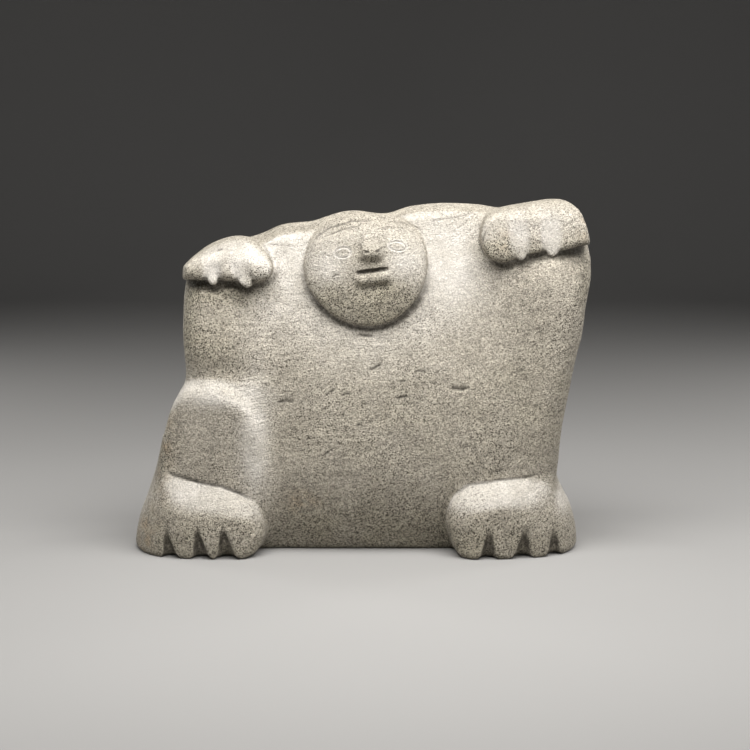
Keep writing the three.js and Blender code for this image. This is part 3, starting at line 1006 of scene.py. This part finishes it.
# Soft patches of each coating on the front, as swells of its mask
PATCHES: dict[Coating, Sequence[Swell]] = {
    # Lighter stone beside the head, on the cheeks and brow, on the paws' tops and on the knee's
    # bevels: partly freshly cut, and painted highlight where these face up into the light.
    Coating.FRESH: (
        Swell((-50, 152), (16, 26), 0.7),
        Swell((50, 158), (18, 26), 0.8),
        Swell((21, 158), (11, 12), 0.8),
        Swell((-20, 158), (11, 12), 0.75),
        Swell((-2, 175), (22, 6), 0.3),
        Swell((-78, 167), (28, 9), 0.9),
        Swell((94, 181), (28, 8), 0.4),
        Swell((-82, 87), (22, 5), 1.2),
        Swell((-60, 62), (7, 30), 1.5),
    ),
    # Darker olive stone, mostly painted shade: low on the body where it curves under, on the flanks
    # that turn from the light, on the chin, under the nose, the lip and the paws, and at the paws'
    # lower corners; the broad belly patches darken it more.
    Coating.WEATHERED: (
        Swell((0, 6), (70, 20), 1.0),
        Swell((20, 72), (95, 46), 0.4),
        Swell((-98, 12), (26, 14), 0.6),
        Swell((100, 90), (30, 30), 0.4),
        Swell((2, 137), (24, 12), 0.5),
        Swell((4, 161), (7, 4), 0.8),
        Swell((4, 145), (11, 5), 0.8),
        Swell((-57, 152), (6, 6), 0.9),
        Swell((-80, 142), (26, 7), 1.0),
        Swell((-100, 124), (8, 26), 1.0),
        Swell((122, 146), (8, 26), 0.9),
        Swell((20, 4), (90, 16), 0.8),
        Swell((-96, 152), (6, 5), 0.7),
        Swell((71, 165), (9, 6), 1.0),
        Swell((-86, 114), (14, 14), 0.7),
        Swell((114, 172), (8, 6), 0.5),
        Swell((-110, 60), (8, 26), 0.7),
    ),
    # Painted shade in the recesses at the paws' lower corners.
    Coating.HOLLOW: (
        Swell((73, 163), (7, 5), 0.3),
        Swell((-57, 150.5), (6, 4), 0.25),
    ),
    Coating.OCHRE: (
        Swell((-122, 12), (8, 16), 0.6),
        Swell((-111, 66), (5, 24), 0.6),
        Swell((-35, 29), (9, 6), 0.5),
        Swell((119, 180), (4, 8), 0.6),
        Swell((76, 170), (5, 6), 0.35),
    ),
}


@dataclass
class Nodes:
    """A node tree being built, with short ways to add to it."""

    tree: bpy.types.NodeTree

    def add(self, kind: str, **sockets: object) -> bpy.types.Node:
        """Adds a node.

        Args:
            kind: The node's type.
            **sockets: Values or outputs for its inputs, with _ for a blank and a number for an
                input by place, as in in0; other names set the node's own properties.

        Returns:
            The node.
        """
        node = self.tree.nodes.new(kind)
        for key, value in sockets.items():
            name = key.replace("_", " ")
            if hasattr(node, key) and not isinstance(value, Socket):
                setattr(node, key, value)
            elif key.startswith("in") and key[2:].isdigit():
                self.feed(node.inputs[int(key[2:])], value)
            else:
                self.feed(node.inputs[name], value)
        return node

    def feed(self, socket: Socket, value: object) -> None:
        """Links an output to an input, or sets the input's value.

        Args:
            socket: The input.
            value: An output or a plain value.
        """
        if isinstance(value, Socket):
            self.tree.links.new(value, socket)
        else:
            socket.default_value = value

    def math(self, operation: str, *values: object, clamp: bool = False) -> Socket:
        """Result of one sum.

        Args:
            operation: The sum's name.
            *values: Its terms.
            clamp: Whether it is kept between 0 and 1.

        Returns:
            The output.
        """
        node = self.tree.nodes.new("ShaderNodeMath")
        node.operation, node.use_clamp = operation, clamp
        for socket, value in zip(node.inputs, values):
            self.feed(socket, value)
        return node.outputs[0]

    def span(self, value: object, low: float, high: float, first: object, last: object) -> Socket:
        """Maps low..high to first..last, and holds the value at either end."""
        node = self.add("ShaderNodeMapRange", in0=value, in1=low, in2=high, in3=first, in4=last)
        return node.outputs[0]

    def mix(self, share: object, a: object, b: object, blend: str = "MIX") -> Socket:
        """Mixes two colours.

        Args:
            share: Share of the second colour.
            a: The first colour.
            b: The second colour.
            blend: How they are mixed.

        Returns:
            The mixed colour.
        """
        node = self.tree.nodes.new("ShaderNodeMix")
        node.data_type, node.blend_type = "RGBA", blend
        self.feed(node.inputs[0], share)
        self.feed(node.inputs[6], a)
        self.feed(node.inputs[7], b)
        return node.outputs[2]

    def noise(self, place: object, scale: float, detail: float = 2.0, rough: float = 0.5) -> Socket:
        """Smooth noise.

        Args:
            place: The coordinates.
            scale: Cells to the metre.
            detail: Octaves.
            rough: Weight of the finer octaves.

        Returns:
            Its value.
        """
        node = self.add("ShaderNodeTexNoise", Vector=place, Scale=scale, Detail=detail)
        node.inputs["Roughness"].default_value = rough
        return node.outputs["Fac"]

    def stretched(self, place: object, turn: Triple, scale: Triple) -> Socket:
        """Coordinates turned and then scaled along each axis.

        Args:
            place: The coordinates.
            turn: The angles, in degrees.
            scale: The scales.

        Returns:
            The new coordinates.
        """
        angles = [math.radians(a) for a in turn]
        turned = self.add("ShaderNodeMapping", in0=place, in2=angles)
        return self.add("ShaderNodeMapping", in0=turned.outputs[0], in3=scale).outputs[0]

    def toned(self, colour: object, value: object, low: float, high: float) -> Socket:
        """A colour, darkened and lightened by a value.

        Args:
            colour: The colour.
            value: The value, from 0 to 1.
            low: What the colour is multiplied by where the value is 0.
            high: What it is multiplied by where the value is 1.

        Returns:
            The toned colour.
        """
        group = bpy.data.node_groups.get(TONE_GROUP) or tone_group()
        node = self.add("ShaderNodeGroup", node_tree=group)
        for socket, given in zip(node.inputs, (colour, value, low, high)):
            self.feed(socket, given)
        return node.outputs[0]

    def attribute(self, name: str) -> Socket:
        """The value of a mask that the mesh carries."""
        return self.add("ShaderNodeAttribute", attribute_name=name).outputs["Fac"]


def tone_group() -> bpy.types.NodeTree:
    """Builds the node group that both finishes share: a colour toned by a value.

    Returns:
        The group, with inputs Colour, Value, Low and High, and output Toned.
    """
    made = bpy.data.node_groups.new(TONE_GROUP, "ShaderNodeTree")
    made.interface.new_socket("Colour", in_out="INPUT", socket_type="NodeSocketColor")
    for name in ("Value", "Low", "High"):
        made.interface.new_socket(name, in_out="INPUT", socket_type="NodeSocketFloat")
    made.interface.new_socket("Toned", in_out="OUTPUT", socket_type="NodeSocketColor")
    n = Nodes(made)
    given = n.add("NodeGroupInput").outputs
    grey = n.span(given["Value"], 0, 1, given["Low"], given["High"])
    tone = n.add("ShaderNodeCombineColor", in0=grey, in1=grey, in2=grey).outputs[0]
    n.add("NodeGroupOutput", Toned=n.mix(1.0, given["Colour"], tone, "MULTIPLY"))
    return made


@dataclass(frozen=True)
class Coat:
    """A thin coating over the stone, worn off in spots.

    cells is how many spots lie along a metre, octaves their detail, worn the range of the noise
    that wears them, and left how much of the coating is left at either end of it.
    """

    # Some coats stand for painted shade and painted highlight: the stone's crease coat, its
    # weathering coat and partly its lighter coat.
    coating: Coating
    tint: Colour
    cells: float
    octaves: float
    worn: Pair
    left: Pair

    def over(self, n: Nodes, colour: Socket, place: Socket) -> Socket:
        """Lays the coating over a colour where its mask says so.

        Args:
            n: The tree.
            colour: The colour underneath.
            place: The coordinates.

        Returns:
            The colour.
        """
        left = n.span(n.noise(place, self.cells, self.octaves), *self.worn, *self.left)
        share = n.math("MULTIPLY", n.attribute(self.coating.value), left, clamp=True)
        return n.mix(share, colour, self.tint)


@dataclass(frozen=True)
class StoneFinish:
    """Dry, pale, close-grained stone, sandy to the touch: lighter on its edges and upward faces,
    partly freshly cut and partly painted highlight, and darkened in its creases with painted shade.

    grain is how many grains lie along a metre, relief how high they stand, and roughness its range.
    clouds, smudges and strokes are noises, each with its cells to the metre, its octaves and the
    weight of the finer ones. A shape is how a noise is scaled along each axis, and a tone is how
    much the darkest and the lightest of its marks change the colour. The pits are the grains above
    pit_share, and pit_more is how much more of them there are under the weathering mask, which is
    mostly painted shade. The file went over the left side at an angle of level degrees, and over
    the right at slant degrees.
    """

    name: str = "pale_stone"
    body: Colour = (0.445, 0.407, 0.342, 1)
    deep: Colour = (0.33, 0.30, 0.245, 1)
    pit: Colour = (0.085, 0.074, 0.056, 1)
    cut_shadow: Colour = (0.05, 0.045, 0.038, 1)
    # The lighter coat is partly painted highlight and the olive coat mostly painted shade; the
    # ochre is a stain.
    coats: Sequence[Coat] = (
        Coat(Coating.FRESH, (0.67, 0.634, 0.583, 1), 70, 3, (0.3, 0.6), (0.55, 1)),
        Coat(Coating.WEATHERED, (0.40, 0.365, 0.285, 1), 55, 3, (0.35, 0.6), (0.35, 1)),
        Coat(Coating.OCHRE, (0.47, 0.33, 0.19, 1), 160, 3, (0.4, 0.65), (0, 0.8)),
    )
    # Painted shade: a near-black darkening laid into creases and recesses by the hollow mask.
    crease_shade: Coat = Coat(Coating.HOLLOW, (0.10, 0.09, 0.072, 1), 420, 2, (0.3, 0.6), (0.4, 0.9))
    clouds: Triple = (38, 4, 0.6)
    smudges: Triple = (210, 4, 0.65)
    smudge_turn: float = 6.0
    smudge_shape: Triple = (0.4, 1, 1)
    smudge_tone: Pair = (0.87, 1.12)
    grain: float = 1900.0
    coarse_share: float = 0.55
    wobble: float = 0.0006
    fine_tone: Pair = (0.62, 1.38)
    coarse_tone: Pair = (0.88, 1.12)
    pit_share: Pair = (0.86, 0.9)
    pit_more: float = 0.13
    strokes: Triple = (480, 2, 0.55)
    stroke_shape: Triple = (0.16, 0.5, 1)
    level: float = 4.0
    slant: float = 38.0
    relief: float = 0.0010
    roughness: Pair = (0.74, 0.94)
    specular: float = 0.3

    def material(self) -> bpy.types.Material:
        """Builds the material.

        Returns:
            The material.
        """
        made = bpy.data.materials.new(self.name)
        made.use_nodes = True
        made.node_tree.nodes.clear()
        n = Nodes(made.node_tree)
        place = n.add("ShaderNodeTexCoord").outputs["Object"]
        grains = self._grains(n, place)
        shader = n.add(
            "ShaderNodeBsdfPrincipled",
            Base_Color=self._colour(n, place, grains),
            Roughness=n.span(n.noise(place, 70, 3), 0.3, 0.7, *self.roughness),
            Normal=self._relief(n, place, grains[2]),
        )
        shader.inputs["Specular IOR Level"].default_value = self.specular
        out = n.add("ShaderNodeOutputMaterial")
        n.tree.links.new(shader.outputs[0], out.inputs[0])
        return made

    def _grains(self, n: Nodes, place: Socket) -> tuple[Socket, Socket, Socket]:
        """Random values of the stone's grains: fine, coarse and dark flecks.

        Args:
            n: The tree.
            place: The coordinates.

        Returns:
            Fine grains, coarse grains, both from 0 to 1, and the mask of dark flecks.
        """
        wobble, shift = n.noise(place, 900, 1), (self.wobble,) * 3
        moved = n.add(
            "ShaderNodeVectorMath", operation="MULTIPLY_ADD", in0=wobble, in1=shift, in2=place
        ).outputs[0]
        values = []
        for share in (1.0, self.coarse_share):
            cells = n.add("ShaderNodeTexVoronoi", Vector=moved, Scale=self.grain * share)
            values.append(n.add("ShaderNodeSeparateColor", in0=cells.outputs["Color"]))
        fine, coarse = values
        # More dark pits under the weathering mask, which is mostly painted shade.
        more_pits = n.math("MULTIPLY", n.attribute(Coating.WEATHERED.value), self.pit_more)
        fleck = n.span(n.math("ADD", fine.outputs[1], more_pits), *self.pit_share, 0, 1)
        return fine.outputs[0], coarse.outputs[0], fleck

    def _colour(self, n: Nodes, place: Socket, grains: Sequence[Socket]) -> Socket:
        """Colour of the stone.

        Args:
            n: The tree.
            place: The coordinates.
            grains: Values of the fine and the coarse grains, and the mask of the dark flecks.

        Returns:
            The colour.
        """
        fine, coarse, fleck = grains
        fresh, weathered, line = (
            n.attribute(c.value) for c in (Coating.FRESH, Coating.WEATHERED, Coating.LINE)
        )
        clouds = n.span(n.noise(place, *self.clouds), 0.35, 0.68, 0, 0.7)
        colour = n.mix(clouds, self.body, self.deep)
        # Lighter coat (partly painted highlight), olive coat (mostly painted shade) and ochre
        # stain.
        for coat in self.coats:
            colour = coat.over(n, colour, place)
        turned = n.stretched(place, (0, self.smudge_turn, 0), self.smudge_shape)
        smudges = n.noise(turned, *self.smudges)
        smudged = n.toned(colour, n.span(smudges, 0.34, 0.66, 0, 1), *self.smudge_tone)
        fine_toned = n.toned(smudged, fine, *self.fine_tone)
        speckled = n.toned(fine_toned, coarse, *self.coarse_tone)
        speckles = n.math("SUBTRACT", 1.0, n.math("MULTIPLY", fresh, 0.55), clamp=True)
        # Painted shade in the creases and recesses.
        colour = self.crease_shade.over(n, n.mix(speckles, colour, speckled), place)
        patches = n.span(n.noise(place, 26, 2), 0.38, 0.62, 0.5, 0.95)
        more = n.math("ADD", patches, n.math("MULTIPLY", weathered, 0.5))
        pitted = n.math("SUBTRACT", more, n.math("MULTIPLY", fresh, 0.5))
        colour = n.mix(n.math("MULTIPLY", fleck, pitted, clamp=True), colour, self.pit)
        # Cut lines painted near-black: painted shadow in the cuts.
        return n.mix(n.math("MULTIPLY", line, 0.8, clamp=True), colour, self.cut_shadow)

    def _relief(self, n: Nodes, place: Socket, fleck: Socket) -> Socket:
        """Normal of the sandy grain, the file's strokes and the pits.

        Args:
            n: The tree.
            place: The coordinates.
            fleck: Mask of the dark flecks, which are pits.

        Returns:
            The normal.
        """
        sand = n.noise(place, self.grain * 0.62, 3, 0.65)
        level, slant = (
            n.noise(n.stretched(place, (0, angle, 0), self.stroke_shape), *self.strokes)
            for angle in (self.level, self.slant)
        )
        across = n.add("ShaderNodeSeparateXYZ", in0=place).outputs[0]
        wander = n.span(n.noise(place, 24, 2), 0.3, 0.7, -0.05, 0.05)
        side = n.span(n.math("ADD", across, wander), -0.01, 0.05, 0, 1)
        strokes = n.math(
            "ADD",
            n.math("MULTIPLY", level, n.math("SUBTRACT", 1.0, side)),
            n.math("MULTIPLY", slant, side),
        )
        weight = n.span(n.noise(place, 30, 2), 0.35, 0.65, 0.3, 1.0)
        height = n.math("ADD", sand, n.math("MULTIPLY", strokes, weight))
        height = n.math("SUBTRACT", height, n.math("MULTIPLY", fleck, 0.6))
        return n.add("ShaderNodeBump", Height=height, Distance=self.relief, Strength=1.0).outputs[0]


@dataclass(frozen=True)
class FloorFinish:
    """Plain pale matt paper."""

    name: str = "pale_floor"
    colour: Colour = (0.32, 0.315, 0.31, 1)
    clouds: Pair = (3, 3)
    tone: Pair = (0.97, 1.03)
    roughness: float = 0.9

    def material(self) -> bpy.types.Material:
        """Builds the material.

        Returns:
            The material.
        """
        made = bpy.data.materials.new(self.name)
        made.use_nodes = True
        n = Nodes(made.node_tree)
        shader = made.node_tree.nodes["Principled BSDF"]
        place = n.add("ShaderNodeTexCoord").outputs["Object"]
        paper = n.toned(self.colour, n.noise(place, *self.clouds), *self.tone)
        n.feed(shader.inputs["Base Color"], paper)
        shader.inputs["Roughness"].default_value = self.roughness
        return made


# Sub-assemblies


@dataclass
class Carving:
    """The figure itself: the solid's skin laid onto the field and cut.

    voxel is the size of the net's squares, and what is lower than ground is set on the ground. The
    unevenness has a height and two sizes, broad and small, as waves to the millimetre. The net is
    finer in the fine zones, given as spans across and up, ahead of fine_depth, and by the cuts.
    Cuts and coatings lie ahead of front_depth.
    """

    voxel: float = 1.85
    ground: float = 0.35
    undulation: float = 0.22
    broad: float = 0.05
    small: float = 0.19
    fine_depth: float = -8.0
    front_depth: float = -5.0
    cut_margin: float = 0.8
    pale_cut_shadow: float = 0.3
    hollow_reach: float = 5.0
    figure: Figure = field(default_factory=Figure)
    cuts: CutLines = field(default_factory=CutLines)
    finish: StoneFinish = field(default_factory=StoneFinish)
    fine_zones: Sequence[tuple[Pair, Pair]] = (
        ((-38, 38), (120, 190)),
        ((-104, -48), (138, 174)),
        ((58, 126), (152, 194)),
        ((-128, -50), (-2, 30)),
        ((38, 120), (-2, 30)),
    )

    def build(self) -> bpy.types.Object:
        """Makes the piece, dresses it and hangs it on the frame.

        Returns:
            The finished piece.
        """
        piece = self._skin()
        self._refine(piece, self._in_zones)
        self._refine(piece, self._near_cuts)
        self._carve(piece)
        piece.data.polygons.foreach_set("use_smooth", np.ones(len(piece.data.polygons), bool))
        piece.data.materials.clear()
        piece.data.materials.append(self.finish.material())
        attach(piece, "root")
        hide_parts("stone_figure")
        return piece

    def _points(self, mesh: bpy.types.Mesh) -> Array:
        """Reads the mesh's vertices.

        Args:
            mesh: The mesh.

        Returns:
            Its points in the figure's own millimetres, as rows.
        """
        flat = np.zeros(len(mesh.vertices) * 3)
        mesh.vertices.foreach_get("co", flat)
        return flat.reshape(-1, 3) / MILLIMETRE + MIDDLE

    def _place(self, mesh: bpy.types.Mesh, points: Array) -> None:
        """Sets the mesh's vertices.

        Args:
            mesh: The mesh.
            points: The points in the figure's own millimetres, as rows.
        """
        grounded = points - MIDDLE
        grounded[grounded[:, 2] < self.ground, 2] = 0.0
        mesh.vertices.foreach_set("co", (grounded * MILLIMETRE).ravel())
        mesh.update()

    def _skin(self) -> bpy.types.Object:
        """Copies the solid as an even net of small squares that lies on the field.

        Returns:
            The piece.
        """
        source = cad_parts["stone_figure"]
        piece = bpy.data.objects.new("stone_carving", source.data.copy())
        bpy.context.scene.collection.objects.link(piece)
        remesh = piece.modifiers.new("even", "REMESH")
        remesh.mode = "VOXEL"
        remesh.voxel_size = self.voxel * MILLIMETRE
        graph = bpy.context.evaluated_depsgraph_get()
        even = bpy.data.meshes.new_from_object(piece.evaluated_get(graph))
        piece.modifiers.clear()
        piece.data = even
        even.name = "stone_carving"
        self._place(even, self.figure.settle(self._points(even), self.voxel))
        return piece

    def _in_zones(self, centres: Array) -> Array:
        """Says which points lie in the zones that need a finer net.

        Args:
            centres: The points, as rows.

        Returns:
            True for each such point.
        """
        x, y, z = centres.T
        inside = np.zeros(len(centres), bool)
        for (left, right), (low, high) in self.fine_zones:
            inside |= (x > left) & (x < right) & (z > low) & (z < high)
        return inside & (y < self.fine_depth)

    def _near_cuts(self, centres: Array) -> Array:
        """Says which points lie by a cut.

        Args:
            centres: The points, as rows.

        Returns:
            True for each such point.
        """
        x, y, z = centres.T
        inside = np.zeros(len(centres), bool)
        for cut in self.cuts:
            gap, _, _ = cut.nearest(x, z)
            inside |= gap < cut.reach() + self.cut_margin
        return inside & (y < self.front_depth)

    def _refine(self, piece: bpy.types.Object, wanted: Callable[[Array], Array]) -> None:
        """Halves the net where it is wanted and lays the new points onto the field.

        Args:
            piece: The piece.
            wanted: Says of points whether the net there is halved.
        """
        net = bmesh.new()
        net.from_mesh(piece.data)
        ends = np.array([[*e.verts[0].co, *e.verts[1].co] for e in net.edges])
        centres = (ends[:, :3] + ends[:, 3:]) / 2 / MILLIMETRE + MIDDLE
        edges = [e for e, keep in zip(net.edges, wanted(centres)) if keep]
        bmesh.ops.subdivide_edges(net, edges=edges, cuts=1, use_grid_fill=True)
        net.to_mesh(piece.data)
        net.free()
        self._place(piece.data, self.figure.settle(self._points(piece.data), 0.8, 2))

    def _carve(self, piece: bpy.types.Object) -> None:
        """Sinks the cuts, adds the unevenness of hand work and lays on the masks.

        Args:
            piece: The piece.
        """
        points = self._points(piece.data)
        _, slope = self.figure.slope(points, 0.2)
        facing = slope / np.maximum(np.linalg.norm(slope, axis=1), 1e-6)[:, None]
        x, y, z = points.T
        ahead = smoothstep(-facing[:, 1], 0.1, 0.5) * (y < self.front_depth)
        sunk, line = np.zeros(len(points)), np.zeros(len(points))
        # Each cut's line is painted dark as the shadow inside it; a pale cut gets only a faint
        # painted shadow.
        for cut in self.cuts:
            depth, shade = cut.sink(x, z)
            sunk += depth * ahead
            dark = self.pale_cut_shadow if cut.pale else min(cut.depth * 1.4, 1.0)
            line = np.maximum(line, shade * ahead * dark)
        uneven = np.array([self._uneven(p) for p in points])
        clear = smoothstep(z, 0.5, 6)
        self._place(piece.data, points + facing * (uneven * clear - sunk)[:, None])
        masks = self._masks(points, facing, ahead)
        masks[Coating.LINE] = line
        for coating, values in masks.items():
            layer = piece.data.attributes.new(coating.value, "FLOAT", "POINT")
            layer.data.foreach_set("value", np.clip(values, 0, 1).astype(np.float32))

    def _uneven(self, point: Array) -> float:
        """Works out the unevenness of hand work.

        Args:
            point: A point.

        Returns:
            Its height there.
        """
        broad = noise.noise(Vector(point * self.broad))
        small = noise.noise(Vector(point * self.small) + Vector((7.3, 1.9, 4.1)))
        return self.undulation * (1.5 * broad + 0.6 * small)

    def _masks(self, points: Array, facing: Array, ahead: Array) -> dict[Coating, Array]:
        """Works out the masks for the finish.

        Args:
            points: The surface's points.
            facing: Its normals there.
            ahead: How far each faces the viewer.

        Returns:
            The value of each mask at each point.
        """
        masks = {coating: np.zeros(len(points)) for coating in Coating}
        x, y, z = points.T
        # How shut in each point is, read from the field a little way out along its normal; the
        # hollow mask paints shade there.
        out = self.hollow_reach
        hollow = 1 - self.figure.distance(points + facing * out) / out
        masks[Coating.HOLLOW] = smoothstep(hollow, 0.3, 0.75) * self._beside(x, z)
        self._head_masks(masks, x, z, ahead)
        self._paw_masks(masks, x, z, ahead)
        # Surfaces that face up low on the figure are lightened: painted highlight from the overhead
        # light.
        upward_highlight = smoothstep(facing[:, 2], 0.2, 0.5) * (1 - smoothstep(z, 90, 110))
        masks[Coating.FRESH] += upward_highlight * (1 - smoothstep(y, -5, 15))
        for coating, patches in PATCHES.items():
            for patch in patches:
                masks[coating] += patch.height(x, z) * ahead
        return masks

    def _beside(self, x: Array, z: Array) -> Array:
        """How much painted crease shade may go on: none on the head and the paws, little above the
        chin.

        Args:
            x: The points' places across.
            z: Their heights.

        Returns:
            Shares from 0 to 1.
        """
        head = HEAD.rim(x, z)
        raised = np.minimum.reduce([head, LOW_HAND.rim(x, z), HIGH_HAND.rim(x, z)])
        return smoothstep(raised, -3, -1) * (1 - 0.7 * (head < 12) * smoothstep(z, 134, 150))

    def _head_masks(self, masks: dict[Coating, Array], x: Array, z: Array, ahead: Array) -> None:
        """Darkens the face a little all over and strongly towards the chin, where it turns down, as
        painted shade, and lightens the stone round it, partly freshly cut and partly painted
        highlight where the chest tilts up.

        Args:
            masks: The masks.
            x: The points' places across.
            z: Their heights.
            ahead: How far each faces the viewer.
        """
        head, chin = HEAD.rim(x, z), 1 - smoothstep(z, 134, 157)
        # Painted shade: the face darkens towards the chin, where it turns down.
        masks[Coating.WEATHERED] += (0.02 + 0.8 * chin) * (1 - smoothstep(head, -2, 0)) * ahead
        # Lighter stone round the head, partly painted highlight where the chest tilts up.
        masks[Coating.FRESH] += 0.6 * smoothstep(head, -1, 1) * np.exp(-((head / 22) ** 2)) * ahead

    def _paw_masks(self, masks: dict[Coating, Array], x: Array, z: Array, ahead: Array) -> None:
        """Darkens the paws' lower halves with painted shade where they turn down, lightens their
        grooves and nail strips with painted highlight where these face up, and lightens the edges
        of the pale ovals with freshly cut stone.

        Args:
            masks: The masks.
            x: The points' places across.
            z: Their heights.
            ahead: How far each faces the viewer.
        """
        for hand in (LOW_HAND, HIGH_HAND):
            rim = hand.rim(x, z)
            low = 1 - smoothstep(z - hand.dish.at[1], -9, 3)
            # Painted shade on the paws' lower halves, where they turn down.
            masks[Coating.WEATHERED] += (0.7 * low) * (rim < 0) * ahead
            inside = (1 - smoothstep(rim, -1, 2)) * ahead
            for groove in hand.strokes:
                # Painted highlight along the grooves, whose floors face up.
                masks[Coating.FRESH] += 0.5 * np.clip(-groove.height(x, z), 0, 2) * inside
        nails = np.minimum.reduce([nail.rim(x, z) for nail in (*LOW_NAILS, *HIGH_NAILS)])
        strip = (1 - smoothstep(nails, -2, 2.5)) * ahead
        chalk = np.maximum.reduce([cut.chalk(x, z) for cut in self.cuts.face]) * ahead
        masks[Coating.WEATHERED] *= (1 - 0.8 * strip) * (1 - chalk)
        # Painted highlight on the nail strips, and freshly cut stone by the pale ovals.
        masks[Coating.FRESH] += 0.35 * strip + 1.5 * chalk


@dataclass(frozen=True)
class Floor:
    """A pale sheet that lies under the figure and rises behind it."""

    half_width: float = 3.0
    front: float = -2.5
    bend: float = 1.3
    radius: float = 0.7
    height: float = 2.6
    finish: FloorFinish = field(default_factory=FloorFinish)

    def build(self) -> bpy.types.Object:
        """Makes the sheet as one strip with a round bend.

        Returns:
            The sheet.
        """
        r, turn = self.radius, [math.radians(a) for a in range(0, 91, 6)]
        bent = [(self.bend + r * math.sin(a), r * (1 - math.cos(a))) for a in turn]
        line = [(self.front, 0.0), *bent, (self.bend + self.radius, self.height)]
        corners = [(s * self.half_width, y, z) for y, z in line for s in (-1, 1)]
        faces = [(2 * i, 2 * i + 1, 2 * i + 3, 2 * i + 2) for i in range(len(line) - 1)]
        mesh = bpy.data.meshes.new("studio_floor")
        mesh.from_pydata(corners, [], faces)
        mesh.polygons.foreach_set("use_smooth", [True] * len(faces))
        mesh.materials.append(self.finish.material())
        piece = bpy.data.objects.new("studio_floor", mesh)
        bpy.context.scene.collection.objects.link(piece)
        piece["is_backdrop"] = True
        return piece


@dataclass(frozen=True)
class SoftBox:
    """One soft light: where it hangs, what it points at, its size and its power in watts."""

    name: str
    at: Triple
    aim: Triple
    size: Pair
    power: float
    colour: Triple = (1.0, 0.985, 0.96)

    def build(self) -> bpy.types.Object:
        """Hangs the light.

        Returns:
            The light.
        """
        data = bpy.data.lights.new(self.name, "AREA")
        data.shape = "RECTANGLE"
        data.size, data.size_y = self.size
        data.energy = self.power
        data.color = self.colour
        lamp = bpy.data.objects.new(self.name, data)
        lamp.location = self.at
        aim = Vector(self.aim) - Vector(self.at)
        lamp.rotation_euler = aim.to_track_quat("-Z", "Y").to_euler()
        lamp.visible_camera = False
        bpy.context.scene.collection.objects.link(lamp)
        return lamp


@dataclass(frozen=True)
class Studio:
    """The floor, the soft lights and the dim room."""

    floor: Floor = field(default_factory=Floor)
    room: float = 0.03
    lights: Sequence[SoftBox] = (
        SoftBox("overhead", (0.04, -0.22, 0.56), (0, -0.04, 0.1), (0.7, 0.4), 7.2),
        SoftBox("front", (0.7, -1.35, 0.7), (0, 0, 0.1), (0.7, 0.7), 2.4),
        SoftBox("rim_left", (-0.8, 0.5, 0.35), (0, 0, 0.1), (0.25, 0.6), 3),
        SoftBox("rim_right", (0.8, 0.5, 0.35), (0, 0, 0.1), (0.25, 0.6), 3),
    )

    def build(self) -> bpy.types.Object:
        """Sets up everything round the figure.

        Returns:
            The floor.
        """
        floor = self.floor.build()
        for light in self.lights:
            light.build()
        world = bpy.data.worlds.new("studio_room")
        world.use_nodes = True
        glow = world.node_tree.nodes["Background"]
        glow.inputs[0].default_value = (1, 1, 1, 1)
        glow.inputs[1].default_value = self.room
        bpy.context.scene.world = world
        bpy.context.scene.view_settings.view_transform = "Standard"
        return floor


@dataclass(frozen=True)
class ViewCamera:
    """A long lens, a little above the figure, that looks slightly down."""

    distance: float = 1.166
    elevation: float = 8.0
    aim: Triple = (0.00664, 0.0, 0.0937)
    lens: float = 100.0
    far: float = 20.0

    def build(self) -> bpy.types.Object:
        """Makes the camera and gives it to the scene.

        Returns:
            The camera.
        """
        data = bpy.data.cameras.new("view")
        data.lens = self.lens
        data.clip_end = self.far
        camera = bpy.data.objects.new("view", data)
        rise = math.radians(self.elevation)
        x, y, z = self.aim
        back, up = self.distance * math.cos(rise), self.distance * math.sin(rise)
        camera.location = (x, y - back, z + up)
        camera.rotation_euler = (math.pi / 2 - rise, 0, 0)
        bpy.context.scene.collection.objects.link(camera)
        bpy.context.scene.camera = camera
        return camera


def main() -> None:
    """Builds the figure, then what stands round it, and notes the two boxes."""
    logging.basicConfig(level=logging.INFO, format="%(name)s: %(message)s")
    for part in (Carving(), Studio()):
        piece = part.build()
        log.info("%s: %d faces", piece.name, len(piece.data.polygons))
    ViewCamera().build()
    boxes = {"cad": [list(c) for c in solid_box], "visual": [list(c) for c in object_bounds()]}
    json.dumps(boxes, indent=1)
    log.info("boxes: %s", boxes)


if __name__ == "__main__":
    main()
